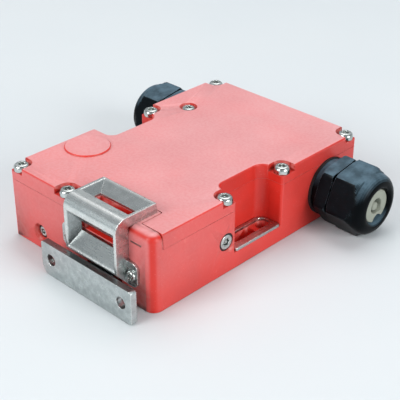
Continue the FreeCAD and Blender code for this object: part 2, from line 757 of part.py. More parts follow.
def plunger_rod():
    """Push rod from the cam to the contacts, with a long notch for the bolt."""
    centre = (ROD_X, CAM_Z)
    start = CAM_Y + SNAIL_LOW
    body = rod(ROD_R, "y", centre, start, ROD_END)
    for side in (-1, 1):
        inner, outer = ROD_X + side * NOSE_HALF, ROD_X + side * 2 * ROD_R
        xs = sorted((inner, outer))
        body = body.cut(block(xs, (start - 1, NOSE_END), (0, TOP)))
        edge = sorted((CAM_Z + side * 1.0, CAM_Z + side * 2 * ROD_R))
        body = body.cut(block((0, 20), (start - 1, NOSE_END), edge))
    notch = block((0, ROD_NOTCH_X), ROD_NOTCH, (0, TOP))
    return body.cut(notch)


def plunger_crossbar():
    """Bar across the push rod that carries the contact bridges."""
    bar = block((ROD_X - BAR_HALF, ROD_X + BAR_HALF), BAR_Y, BAR_Z)
    return bar.cut(rod(ROD_R, "y", (ROD_X, CAM_Z), BAR_Y[0] - 1, BAR_Y[1] + 1))


def contact_bridges():
    """Two copper bridges on the front of the crossbar."""
    bridges = []
    for side in (-1, 1):
        xs = sorted((ROD_X + side * 3.6, ROD_X + side * (BAR_HALF - 0.4)))
        bridges.append(block(xs, (BAR_Y[0] - BRIDGE, BAR_Y[0]), (BAR_Z[0] + 0.5, BAR_Z[1] - 0.5)))
    return Part.makeCompound(bridges)


def contact_studs():
    """Four fixed contacts that the bridges meet with the tongue inserted."""
    studs = []
    for side in (-1, 1):
        for reach in (4.6, 8.4):
            centre = (ROD_X + side * reach, CAM_Z)
            end = BAR_Y[0] - BRIDGE - 0.05
            studs.append(prism(SCREW_SIDES, STUD_R, "y", centre, CONTACT_SLOT_Y[0], end))
    return Part.makeCompound(studs)


def contact_block(side):
    """Moulded contact block with an open slot for its arm of the crossbar."""
    xs = sorted((ROD_X + side * CONTACT_INNER, ROD_X + side * CONTACT_OUTER))
    body = block(xs, CONTACT_Y, (FLOOR, CONTACT_TOP))
    slot = sorted((ROD_X + side * (CONTACT_INNER - 1), ROD_X + side * CONTACT_SLOT_X))
    body = body.cut(block(slot, CONTACT_SLOT_Y, CONTACT_SLOT_Z))
    middle = (xs[0] + xs[1]) / 2
    for step in (-1, 1):
        place = middle + step * CONTACT_GROOVE
        body = body.cut(block((place - 1, place + 1), (CONTACT_Y[0] - 1, CONTACT_Y[1] + 1),
                              (CONTACT_GROOVE_FLOOR, TOP)))
    return body


def solenoid_frame():
    """Folded steel frame that holds the coil and guides the bolt."""
    ys = (LOCK_Y - FRAME_HALF, LOCK_Y + FRAME_HALF)
    low, high = CAM_Z - FRAME_HALF, CAM_Z + FRAME_HALF
    left, right = FRAME_X
    corners = [(left, low, 2), (right, low, 2), (right, high, 0), (right - FRAME_SHEET, high, 0),
               (right - FRAME_SHEET, low + FRAME_SHEET, 0.5), (left + FRAME_SHEET, low + FRAME_SHEET, 0.5),
               (left + FRAME_SHEET, high, 0), (left, high, 0)]
    body = slab(corners, "y", *ys)
    body = body.cut(rod(ARMATURE_R + SOLENOID_GAP, "x", (LOCK_Y, CAM_Z), left - 1, left + 5))
    return body.cut(rod(BOLT_R + 0.05, "x", (LOCK_Y, CAM_Z), right - 5, right + 1))


def solenoid_coil():
    """Bobbin with two flanges around the wound coil."""
    inner = ARMATURE_R + SOLENOID_GAP
    start, end = COIL_X
    flat = COIL_R - 1.4
    profile = [(inner, start), (COIL_R, start), (COIL_R, start + 1.2), (flat, start + 1.2),
               (flat, end - 1.2), (COIL_R, end - 1.2), (COIL_R, end), (inner, end)]
    coil = turned(profile, "x", (LOCK_Y, CAM_Z))
    return coil.cut(block(COIL_X, (0, LENGTH), (0, CAM_Z - FRAME_HALF + FRAME_SHEET)))


def lock_bolt():
    """Armature and the bolt it carries, moved toward the push rod."""
    centre = (LOCK_Y, CAM_Z)
    armature = rod(ARMATURE_R, "x", centre, *ARMATURE_X)
    return armature.fuse(rod(BOLT_R, "x", centre, ARMATURE_X[1], BOLT_TIP))


def release_screw(axis, centre, radii, face, inward, end):
    """Release screw with a socketed head and a spindle with a flat at its end."""
    head_r, _, spindle_r = radii
    seat = face + inward * RELEASE_HEAD
    head = rod(head_r, axis, centre, *sorted((face, seat)))
    spindle = rod(spindle_r, axis, centre, *sorted((seat, end)))
    socket = sorted((face - inward, face + inward * 1.6))
    shape = head.fuse(spindle).cut(prism(6, head_r * 0.5, axis, centre, *socket, 30))
    u, v = centre
    wide, low, high = spindle_r * 1.2, v + spindle_r * 0.4, v + spindle_r * 1.2
    flat = [(u - wide, low), (u + wide, low), (u + wide, high), (u - wide, high)]
    return shape.cut(slab(sharp(flat), axis, *sorted((end, end - inward * 6))))


def release_screw_side():
    """Release screw in the right wall."""
    return release_screw("x", SIDE_RELEASE, SIDE_RELEASE_R, HALF_WIDTH, -1, SIDE_RELEASE_END)


def release_screw_front():
    """Release screw in the front wall, set in a dish."""
    face = FRONT_DISH + RELEASE_SET_BACK
    return release_screw("y", FRONT_RELEASE, FRONT_RELEASE_R, face, 1, FRONT_RELEASE_END)


def release_seal(axis, centre, radii, near, inward):
    """Rubber ring between the head of a release screw and its bore."""
    head_r, seat_r, _ = radii
    start, end = sorted((near, near + inward * SEAL_HIGH))
    ring = rod(seat_r, axis, centre, start, end)
    return ring.cut(rod(head_r + RELEASE_FIT, axis, centre, start - 1, end + 1))


def terminal_block():
    """Stepped terminal block with one open chamber for each pole."""
    x0, x1 = TERMINAL_X
    y0, y1 = TERMINAL_Y
    side = [(y0, FLOOR), (y1, FLOOR), (y1, 12), (y1 - 3, TERMINAL_TOP), (y0, TERMINAL_TOP)]
    body = slab(sharp(side), "x", x0, x1)
    cutters = []
    for x in pole_places():
        well = (x, TERMINAL_SCREW_Y)
        cutters.append(prism(SCREW_SIDES, TERMINAL_SCREW_R + 0.3, "z", well, TERMINAL_WELL, TOP))
        cutters.append(block((x - POLE_HALF, x + POLE_HALF), (y1 - 6, y1 + 1), (6, TERMINAL_WELL)))
    return body.cut(cutters)


def pole_places():
    """Positions of the poles along the terminal block."""
    middle = sum(TERMINAL_X) / 2
    return [middle + (pole - (POLES - 1) / 2) * POLE_PITCH for pole in range(POLES)]


def terminal_screws():
    """One clamping screw in each pole."""
    half, deep = TERMINAL_SLOT
    top = TERMINAL_WELL + TERMINAL_SCREW
    across = (TERMINAL_SCREW_Y - half, TERMINAL_SCREW_Y + half)
    screws = []
    for x in pole_places():
        centre = (x, TERMINAL_SCREW_Y)
        screw = prism(SCREW_SIDES, TERMINAL_SCREW_R, "z", centre, TERMINAL_WELL, top)
        reach = TERMINAL_SCREW_R + 1
        screws.append(screw.cut(block((x - reach, x + reach), across, (top - deep, top + 1))))
    return Part.makeCompound(screws)


def wear_plate():
    """Stainless plate on the flange with one long window over slot and hole."""
    inner = NOTCH_X + WEAR_GAP
    corners = [(inner, NOTCH_FRONT + WEAR_GAP, NOTCH_R_FRONT), (HALF_WIDTH, NOTCH_FRONT + WEAR_GAP, 0.8),
               (HALF_WIDTH, NOTCH_REAR - WEAR_GAP, 0.8), (inner, NOTCH_REAR - WEAR_GAP, NOTCH_R_REAR)]
    plate = slab(corners, "z", FLANGE, FLANGE + WEAR_PLATE)
    front = MOUNT_SLOT_FRONT - 0.4
    rear = MOUNT_HOLE_Y + MOUNT_HOLE_R + WEAR_WINDOW_END
    return plate.cut(obround(WEAR_WINDOW_R, front, rear, FLANGE - 1, FLANGE + WEAR_PLATE + 1))


def gland_washer():
    """Flat sealing ring between the wall and the gland."""
    centre = (GLAND_Y, GLAND_Z)
    ring = rod(GLAND_WASHER_R, "x", centre, HALF_WIDTH, HALF_WIDTH + GLAND_WASHER)
    return ring.cut(rod(GLAND_THREAD_R + 0.1, "x", centre, HALF_WIDTH - 1, HALF_WIDTH + 5))


def gland_body():
    """Gland body: threaded barrel through the wall, collar, hexagon and neck."""
    centre = (GLAND_Y, GLAND_Z)
    x = HALF_WIDTH
    neck = x + GLAND_NUT_START + GLAND_NUT_THREAD - 2.5
    parts = [
        rod(GLAND_THREAD_R, "x", centre, x - GLAND_INSIDE, x + GLAND_WASHER + 0.5),
        rod(GLAND_COLLAR_R, "x", centre, x + GLAND_WASHER, x + GLAND_HEX_START + 0.5),
        prism(6, GLAND_CORNER_R - 0.6, "x", centre, x + GLAND_HEX_START, x + GLAND_HEX_END, GLAND_TURN),
        rod(GLAND_THREAD_R, "x", centre, x + GLAND_HEX_END, neck),
    ]
    return joined(parts).cut(rod(GLAND_BORE_R, "x", centre, 0, 2 * x))


def gland_nut():
    """Domed clamping nut with a hexagon that runs out into a round nose."""
    centre = (GLAND_Y, GLAND_Z)
    start, end = HALF_WIDTH + GLAND_NUT_START, HALF_WIDTH + GLAND_NUT_END
    flats = start + GLAND_NUT_FLATS
    blank = prism(6, GLAND_CORNER_R, "x", centre, start, end, GLAND_TURN)
    outer = GLAND_CORNER_R + 0.1
    shape = turned([(0, start), (outer, start), (outer, flats), (GLAND_RIM_R + 1.3, end - 3.2),
                    (GLAND_RIM_R - 1.0, end), (0, end)], "x", centre)
    bore = turned([(0, start - 1), (GLAND_THREAD_R + 0.1, start - 1),
                   (GLAND_THREAD_R + 0.1, start + GLAND_NUT_THREAD),
                   (GLAND_NUT_BORE_R, end - 3), (GLAND_NUT_BORE_R, end - GLAND_LIP),
                   (GLAND_NUT_BORE_R + 1.6, end + 0.1), (0, end + 0.1)], "x", centre)
    return blank.common(shape).cut(bore)


def gland_seal():
    """Rubber insert with a cable hole, a small side hole and a notch below."""
    centre = (GLAND_Y, GLAND_Z)
    end = HALF_WIDTH + GLAND_NUT_END - GLAND_LIP
    start = HALF_WIDTH + GLAND_NUT_START + GLAND_NUT_THREAD - 0.8
    body = turned([(0, start), (GLAND_BORE_R, start), (GLAND_NUT_BORE_R - 0.05, end - 1.6),
                   (GLAND_NUT_BORE_R - 0.05, end), (0, end)], "x", centre)
    body = body.cut(rod(SEAL_HOLE_R, "x", centre, start - 1, end + 1))
    corner = [(-1.2, 4.2), (1.2, 4.2), (0, 6.2)]
    notch = [(0, -4.6), (-2.4, -10), (2.4, -10)]
    for shape in (corner, notch):
        points = [(GLAND_Y + u, GLAND_Z + v) for u, v in shape]
        body = body.cut(slab(sharp(points), "x", end - 5, end + 1))
    return body


def gland_locknut():
    """Thin hexagon nut on the barrel inside the wall."""
    centre = (GLAND_Y, GLAND_Z)
    inner = HALF_WIDTH - WALL
    nut = prism(6, LOCKNUT_R, "x", centre, inner - LOCKNUT, inner, GLAND_TURN)
    return nut.cut(rod(GLAND_THREAD_R, "x", centre, inner - LOCKNUT - 1, inner + 1))


def save(name, shape):
    """Write one piece, moved so the origin lies between the mounting holes."""
    piece = shape.copy()
    piece.translate(V(0, -MOUNT_HOLE_Y, 0))
    piece.exportStep("parts/%s.step" % name)


def save_pair(name, shape, nut_shift):
    """Write the right piece and its mirrored partner on the left."""
    save(name + "_right", shape)
    other = shape.copy()
    other.translate(V(nut_shift, 0, 0))
    save(name + "_left", mirrored(other))


def main():
    """Build and write every piece."""
    os.makedirs("parts", exist_ok=True)
    for name, shape in {**housing_parts(), **cover_parts()}.items():
        save(name, shape)
    save("cover_gasket", cover_gasket())
    save("cover_screws", cover_screws())
    save("guide", guide())
    save("guide_screws", guide_screws())
    save("actuator_plate", actuator_plate())
    save("tongue_blade", tongue_blade())
    save("star_cam", star_cam())
    save("cam_shaft", cam_shaft())
    save("plunger_rod", plunger_rod())
    save("plunger_crossbar", plunger_crossbar())
    save("contact_bridges", contact_bridges())
    save("contact_studs", contact_studs())
    save("contact_block_left", contact_block(-1))
    save("contact_block_right", contact_block(1))
    save("terminal_block", terminal_block())
    save("terminal_screws", terminal_screws())
    save("solenoid_frame", solenoid_frame())
    save("solenoid_coil", solenoid_coil())
    save("lock_bolt", lock_bolt())
    save("release_screw_side", release_screw_side())
    save("release_screw_front", release_screw_front())
    seal = release_seal("x", SIDE_RELEASE, SIDE_RELEASE_R, HALF_WIDTH - SEAL_BACK, -1)
    save("release_seal_side", seal)
    near = FRONT_DISH + RELEASE_SET_BACK + SEAL_BACK
    seal = release_seal("y", FRONT_RELEASE, FRONT_RELEASE_R, near, 1)
    save("release_seal_front", seal)
    save_pair("wear_plate", wear_plate(), 0)
    save_pair("gland_washer", gland_washer(), 0)
    save_pair("gland_body", gland_body(), 0)
    save_pair("gland_locknut", gland_locknut(), 0)
    save_pair("gland_nut", gland_nut(), LEFT_NUT_SHIFT)
    save_pair("gland_seal", gland_seal(), LEFT_NUT_SHIFT)


main()
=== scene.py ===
"""Looks of a tongue operated interlock switch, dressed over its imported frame."""
import json
import logging
import math
from dataclasses import dataclass
from enum import Enum
from typing import Any, Callable, Dict, List, Optional, Sequence, Tuple, Union

import bmesh
import bpy
from mathutils import Matrix, Vector


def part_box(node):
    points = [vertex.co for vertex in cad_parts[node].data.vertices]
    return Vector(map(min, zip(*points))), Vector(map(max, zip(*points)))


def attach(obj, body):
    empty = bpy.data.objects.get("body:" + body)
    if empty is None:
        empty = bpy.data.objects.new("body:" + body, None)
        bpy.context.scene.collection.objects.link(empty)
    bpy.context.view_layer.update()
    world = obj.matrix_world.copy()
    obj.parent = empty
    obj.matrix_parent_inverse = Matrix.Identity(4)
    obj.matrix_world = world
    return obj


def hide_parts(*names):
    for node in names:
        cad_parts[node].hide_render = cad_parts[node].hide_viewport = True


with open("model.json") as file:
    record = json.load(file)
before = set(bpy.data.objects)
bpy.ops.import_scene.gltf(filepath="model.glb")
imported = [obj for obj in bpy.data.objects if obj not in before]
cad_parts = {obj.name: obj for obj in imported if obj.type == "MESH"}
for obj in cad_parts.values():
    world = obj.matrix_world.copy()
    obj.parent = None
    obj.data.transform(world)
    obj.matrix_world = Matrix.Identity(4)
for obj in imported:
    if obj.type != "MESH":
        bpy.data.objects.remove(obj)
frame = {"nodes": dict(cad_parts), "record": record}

log = logging.getLogger("switch")
Colour = Tuple[float, float, float]
Point = Tuple[float, float, float]
Ring = List[Point]

# A millimetre in metres
MM = 0.001
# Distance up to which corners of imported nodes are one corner, in metres
WELD = 0.000001
# The same for turned pieces, in millimetres
LOOP_WELD = 0.00001
# Angle in degrees from which an edge of a turned piece is sharp
TURNED_SHARP = 32.0
# Rays with which a material looks for nearby edges and for hollows
EDGE_SAMPLES = 6
HOLLOW_SAMPLES = 8


class Value:
    """A shader socket that adds Math nodes when it is used in an expression."""

    def __init__(self, graph: "Graph", socket: bpy.types.NodeSocket) -> None:
        """Keep the graph and the socket that carries the number."""
        self.graph = graph
        self.socket = socket

    def _math(self, operation: str, first: Any, second: Any = None) -> "Value":
        """Add one Math node.

        Args:
            operation: name of the Math node's operation.
            first: first number or value.
            second: second number or value, where the operation has one.

        Returns:
            The node's result.
        """
        inputs = {0: first} if second is None else {0: first, 1: second}
        return self.graph.node("ShaderNodeMath", {"operation": operation}, inputs)

    def __add__(self, other: Any) -> "Value":
        """Sum."""
        return self._math("ADD", self, other)

    __radd__ = __add__

    def __sub__(self, other: Any) -> "Value":
        """Difference."""
        return self._math("SUBTRACT", self, other)

    def __rsub__(self, other: Any) -> "Value":
        """Reflected difference."""
        return self._math("SUBTRACT", other, self)

    def __mul__(self, other: Any) -> "Value":
        """Product."""
        return self._math("MULTIPLY", self, other)

    __rmul__ = __mul__

    def __neg__(self) -> "Value":
        """Negative."""
        return self._math("MULTIPLY", self, -1.0)

    def __abs__(self) -> "Value":
        """Size without sign."""
        return self._math("ABSOLUTE", self)

    def least(self, other: Any) -> "Value":
        """Smaller of two values."""
        return self._math("MINIMUM", self, other)

    def most(self, other: Any) -> "Value":
        """Larger of two values."""
        return self._math("MAXIMUM", self, other)

    def rise(self, start: float, stop: float, low: float = 0.0, high: float = 1.0) -> "Value":
        """Map a range of the value to another one, smoothly and clamped.

        Args:
            start: input that gives low.
            stop: input that gives high.
            low: result at and below start.
            high: result at and above stop.

        Returns:
            The mapped value.
        """
        return self.graph.node(
            "ShaderNodeMapRange",
            {"interpolation_type": "SMOOTHSTEP"},
            {"Value": self, "From Min": start, "From Max": stop, "To Min": low, "To Max": high},
        )

    def above(self, level: float, fade: float) -> "Value":
        """1 from a level on, fading to 0 over a stretch before it."""
        return self.rise(level - fade, level)

    def below(self, level: float, fade: float) -> "Value":
        """0 from a level on, fading to 1 over a stretch before it."""
        return self.rise(level - fade, level, 1.0, 0.0)


class Graph:
    """Node tree of a material or of the world, with one method that adds any node."""

    def __init__(self, owner: Union[bpy.types.Material, bpy.types.World]) -> None:
        """Start an empty tree.

        Args:
            owner: material or world that the tree belongs to.
        """
        owner.use_nodes = True
        self.owner = owner
        self.tree = owner.node_tree
        self.tree.nodes.clear()

    @classmethod
    def of_material(cls, name: str) -> "Graph":
        """Empty tree of a new material."""
        return cls(bpy.data.materials.new(name))

    def add(self, kind: str, settings: Optional[Dict[str, Any]] = None,
            inputs: Optional[Dict[Any, Any]] = None) -> bpy.types.Node:
        """Add a node.

        Args:
            kind: Blender's type name of the node.
            settings: attributes of the node, which are set first.
            inputs: socket names or numbers with a value, number or colour each.

        Returns:
            The node.
        """
        made = self.tree.nodes.new(kind)
        for key, setting in (settings or {}).items():
            setattr(made, key, setting)
        for key, given in (inputs or {}).items():
            self._feed(self._socket(made.inputs, key), given)
        return made

    def node(self, kind: str, settings: Optional[Dict[str, Any]] = None,
             inputs: Optional[Dict[Any, Any]] = None, output: Any = 0) -> Value:
        """Add a node and take one of its results.

        Args:
            kind: Blender's type name of the node.
            settings: attributes of the node.
            inputs: socket names or numbers with a value, number or colour each.
            output: name or number of the result socket.

        Returns:
            The chosen result socket as a value.
        """
        return Value(self, self._socket(self.add(kind, settings, inputs).outputs, output))

    @staticmethod
    def _socket(sockets: Any, key: Any) -> bpy.types.NodeSocket:
        """Find a socket by number, or the enabled one with a name.

        Args:
            sockets: a node's inputs or outputs.
            key: number or name of the socket.

        Returns:
            The socket.
        """
        if isinstance(key, int):
            return sockets[key]
        named = [socket for socket in sockets if socket.name == key]
        enabled = [socket for socket in named if socket.enabled]
        return (enabled or named)[0]

    def _feed(self, socket: bpy.types.NodeSocket, given: Any) -> None:
        """Link a value to a socket, or set a constant on it.

        Args:
            socket: the input socket.
            given: a value, number, vector or colour.
        """
        if isinstance(given, Value):
            self.tree.links.new(given.socket, socket)
        elif isinstance(given, (tuple, list)) and socket.type == "RGBA":
            socket.default_value = (*given[:3], 1.0)
        else:
            socket.default_value = given

    def place(self) -> Value:
        """Position on the object in metres."""
        return self.node("ShaderNodeTexCoord", output="Object")

    def noise(self, per_metre: float, detail: float = 3.0, where: Optional[Value] = None,
              roughness: float = 0.5) -> Value:
        """Noise at a scale given in features per metre.

        Args:
            per_metre: number of features in a metre.
            detail: number of finer layers.
            where: coordinates, or the object's own when left out.
            roughness: share of the finer layers.

        Returns:
            Noise from 0 to 1.
        """
        return self.node(
            "ShaderNodeTexNoise", {"noise_dimensions": "3D"},
            {"Vector": where or self.place(), "Scale": per_metre, "Detail": detail,
             "Roughness": roughness}, "Fac")

    def stretched(self, scale: Tuple[float, float, float]) -> Value:
        """Object coordinates scaled along each axis, as a vector."""
        return self.node("ShaderNodeVectorMath", {"operation": "MULTIPLY"},
                         {0: self.place(), 1: scale})

    def mix(self, share: Any, first: Any, second: Any) -> Value:
        """Mix two colours.

        Args:
            share: share of the second colour, from 0 to 1.
            first: colour or value.
            second: colour or value.

        Returns:
            The mixed colour.
        """
        return self.node("ShaderNodeMix", {"data_type": "RGBA"},
                         {"Factor": share, "A": first, "B": second}, "Result")

    def bump(self, height: Value, strength: float, distance: float,
             over: Optional[Value] = None) -> Value:
        """Bump from a height.

        Args:
            height: height from 0 to 1.
            strength: share of the effect.
            distance: height in metres that 1 stands for.
            over: another bump that this one adds to.

        Returns:
            The bent normal.
        """
        inputs = {"Height": height, "Strength": strength, "Distance": distance}
        if over is not None:
            inputs["Normal"] = over
        return self.node("ShaderNodeBump", {}, inputs, "Normal")

    def facing(self) -> Value:
        """Direction that the flat face itself has, without smoothing or bumps."""
        return self.node("ShaderNodeNewGeometry", output="True Normal")

    def hollow(self, reach: float) -> Value:
        """How deep a spot lies in a slot or corner, from 0 in the open to 1.

        Args:
            reach: width in metres up to which a slot counts as deep.

        Returns:
            The value.
        """
        light = self.node("ShaderNodeAmbientOcclusion", {"samples": HOLLOW_SAMPLES},
                          {"Distance": reach}, "AO")
        return 1.0 - light

    def split(self, vector: Value) -> Tuple[Value, Value, Value]:
        """Take a vector apart.

        Args:
            vector: the vector.

        Returns:
            Its x, y and z.
        """
        x = self.node("ShaderNodeSeparateXYZ", {}, {0: vector}, "X")
        outputs = x.socket.node.outputs
        return x, Value(self, outputs["Y"]), Value(self, outputs["Z"])

    def inside(self, middle: Point, half: Point, fade: float) -> Value:
        """Share of a box in the object's own place, fading out around it.

        Args:
            middle: centre of the box.
            half: half its size along each axis.
            fade: width of the fade.

        Returns:
            1 within the box and 0 outside.
        """
        x, y, z = [abs(along - at).below(reach + fade, fade)
                   for along, at, reach in zip(self.split(self.place()), middle, half)]
        return x * y * z

    def rounded(self, radius: float) -> Value:
        """Facing that is rounded over near every edge.

        Args:
            radius: radius of the rounding in metres.

        Returns:
            The rounded facing.
        """
        return self.node("ShaderNodeBevel", {"samples": EDGE_SAMPLES}, {"Radius": radius})

    def rim(self, rounded: Value) -> Value:
        """How far a rounded facing leaves the plain one, from 0 away from edges.

        Args:
            rounded: facing from the rounded method.

        Returns:
            Value that rises toward edges.
        """
        along = self.node("ShaderNodeVectorMath", {"operation": "DOT_PRODUCT"},
                          {0: rounded, 1: self.facing()}, "Value")
        return 1.0 - along

    def surface(self, **inputs: Any) -> bpy.types.Material:
        """Finish the material with one Principled shader.

        Args:
            inputs: the shader's sockets, with underscores for spaces.

        Returns:
            The finished material.
        """
        named = {key.replace("_", " "): given for key, given in inputs.items()}
        shader = self.node("ShaderNodeBsdfPrincipled", {}, named, "BSDF")
        self.add("ShaderNodeOutputMaterial", {}, {"Surface": shader})
        return self.owner


@dataclass(frozen=True)
class MouldedPlastic:
    """Injection moulded plastic with a fine grain, scuffs, and edge wear that also paints a highlight
    along the edges.

    Lengths are in metres and scales in features per metre.
    """

    name: str
    colour: Colour
    # Colour of scuffs and of edge wear, which also paints an edge highlight
    scuff_and_highlight: Colour
    roughness: float = 0.42
    scuff_share: float = 0.25
    edge_share: float = 0.35
    edge: float = 0.00035
    gloss: float = 0.5
    shade: float = 0.82
    # Painted shade: colour, share and reach of darkening in hollows, corners, seams and the slit
    hollow_shade: Colour = (0.02, 0.004, 0.003)
    hollow_shade_share: float = 0.0
    hollow_shade_reach: float = 0.004
    cloud_scale: float = 34.0
    fleck_scale: float = 1150.0
    rub_scale: float = 420.0
    long_marks: Point = (300.0, 40.0, 300.0)
    cross_marks: Point = (35.0, 340.0, 280.0)
    mark_depth: float = 0.00003
    wave_scale: float = 24.0
    wave_height: float = 0.0006
    grain_scale: float = 2600.0
    grain_height: float = 0.00002

    def build(self) -> bpy.types.Material:
        """Make the material.

        Returns:
            The finished material.
        """
        graph = Graph.of_material(self.name)
        rounded = graph.rounded(self.edge)
        cloud = graph.noise(self.cloud_scale, 4.0)
        fleck = graph.noise(self.fleck_scale, 2.0).rise(0.64, 0.74)
        marks = self._marks(graph) * cloud.rise(0.42, 0.62)
        # Paler edges: edge wear and a painted edge highlight
        edge_wear_and_highlight = graph.rim(rounded).rise(0.01, 0.2) * graph.noise(self.rub_scale).rise(0.3, 0.6)
        rubbed_and_highlit = (fleck * 0.45 + marks * 0.5) * self.scuff_share + edge_wear_and_highlight * self.edge_share
        colour = graph.mix(rubbed_and_highlit.least(0.9), self._body(graph, cloud), self.scuff_and_highlight)
        rough = self.roughness + (cloud - 0.5) * 0.16 + rubbed_and_highlit * 0.2
        marked = graph.bump(1.0 - marks, 0.25, self.mark_depth, rounded)
        waves = graph.bump(graph.noise(self.wave_scale, 1.0), 0.1, self.wave_height, marked)
        grain = graph.bump(graph.noise(self.grain_scale, 2.0), 0.45, self.grain_height, waves)
        return graph.surface(Base_Color=colour, Roughness=rough, Normal=grain,
                             Specular_IOR_Level=self.gloss)

    def _marks(self, graph: Graph) -> Value:
        """Scuff marks, some along the piece and some across it.

        Args:
            graph: tree of the material.

        Returns:
            Share of the marks over the surface.
        """
        along = graph.noise(1.0, 4.0, graph.stretched(self.long_marks)).rise(0.63, 0.76)
        across = graph.noise(1.0, 4.0, graph.stretched(self.cross_marks)).rise(0.65, 0.78)
        return along + across

    def _body(self, graph: Graph, cloud: Value) -> Value:
        """Colour of the plastic with what lies on it and painted sheen, and with painted shade in hollows
        and the slit, before any wear.

        Args:
            graph: tree of the material.
            cloud: slow change over the surface.

        Returns:
            The colour.
        """
        dark = tuple(part * self.shade for part in self.colour)
        body = graph.mix(cloud.rise(0.3, 0.7), dark, self.colour)
        # Pale layer that is partly painted sheen
        haze_and_sheen = self._haze_and_sheen(graph)
        if haze_and_sheen is not None:
            body = graph.mix(haze_and_sheen[0], body, haze_and_sheen[1])
        # Painted shade: darker where ambient occlusion finds hollows, corners, seams and the floor nearby
        if self.hollow_shade_share:
            deep = graph.hollow(self.hollow_shade_reach).rise(0.45, 0.95) * self.hollow_shade_share
            body = graph.mix(deep, body, self.hollow_shade)
        # Painted shade: the slit in the head's front face is darkened
        slit = self._slit_shade(graph)
        if slit is not None:
            body = graph.mix(slit, body, self.hollow_shade)
        return body

    def _haze_and_sheen(self, graph: Graph) -> Optional[Tuple[Value, Colour]]:
        """Share and colour of what lies on the plastic, partly painted sheen; plain plastic has nothing.
        """
        return None

    def _slit_shade(self, graph: Graph) -> Optional[Value]:
        """Share of painted shade in a slit; plain plastic has no slit."""
        return None


@dataclass(frozen=True)
class ChalkedSheenPlastic(MouldedPlastic):
    """Plastic whose outermost faces are paler, partly chalky and partly painted sheen, most of all on top.
    """

    chalk_and_sheen: Colour = (0.83, 0.468, 0.478)
    top_share: float = 0.7
    front_share: float = 0.3
    side_share: float = 0.17
    top_level: float = 0.0392
    front_level: float = 0.0808
    side_level: float = 0.0498
    slit: Point = (0.0395, -0.0798, 0.0334)
    slit_half: Point = (0.0041, 0.0008, 0.0013)
    slit_fade: float = 0.0003

    def _haze_and_sheen(self, graph: Graph) -> Optional[Tuple[Value, Colour]]:
        """Paler outer faces, partly chalky and partly painted sheen, with a share for each face direction.

        Args:
            graph: tree of the material.

        Returns:
            Share of the paler layer, partly chalky and partly painted sheen, over the surface, and its
            colour.
        """
        x, y, z = graph.split(graph.place())
        right, back, up = graph.split(graph.facing())
        # Painted sheen with a chalky pallor: top, front and side faces paled by shares of their own
        top = up.rise(0.7, 0.97) * z.above(self.top_level, 0.002) * self.top_share
        front = (-back).rise(0.75, 0.98) * (-y).above(self.front_level, 0.001) * self.front_share
        side = abs(right).rise(0.75, 0.98) * abs(x).above(self.side_level, 0.001) * self.side_share
        # Less pallor toward the front of the top, the back of the sides and the floor
        top_falloff = y.rise(-0.085, -0.02, 0.8, 1.0)
        side_falloff = y.rise(-0.06, 0.03, 1.0, 0.3)
        low_falloff = z.rise(0.001, 0.026, 0.4, 1.0)
        share = top * top_falloff + (front + side * side_falloff) * low_falloff
        patches = graph.noise(21.0, 5.0, roughness=0.62).rise(0.25, 0.75, 0.86, 1.08)
        grains = graph.noise(700.0).rise(0.35, 0.65, 0.9, 1.05)
        return (share * patches * grains).least(0.92), self.chalk_and_sheen

    def _slit_shade(self, graph: Graph) -> Optional[Value]:
        """Painted shade in the slit of the head's front face."""
        return graph.inside(self.slit, self.slit_half, self.slit_fade)


@dataclass(frozen=True)
class BloomSheenPlastic(MouldedPlastic):
    """Dark plastic whose upward faces carry a thin pale film, partly bloomed and partly painted bluish sky
    sheen.
    """

    bloom_and_sheen: Colour = (0.11, 0.18, 0.23)
    share: float = 0.8

    def _haze_and_sheen(self, graph: Graph) -> Optional[Tuple[Value, Colour]]:
        """Pale film on upward faces, partly bloomed and partly painted sheen.

        Args:
            graph: tree of the material.

        Returns:
            Share of the pale film, partly bloomed and partly painted sheen, over the surface, and its
            colour.
        """
        # Painted sheen: upward faces paled toward a bluish colour, as a reflection of the sky would make
        # them
        up = graph.split(graph.facing())[2]
        patches = graph.noise(160.0, 4.0, roughness=0.6).rise(0.3, 0.7, 0.55, 1.15)
        return up.rise(0.3, 0.95) * patches * self.share, self.bloom_and_sheen


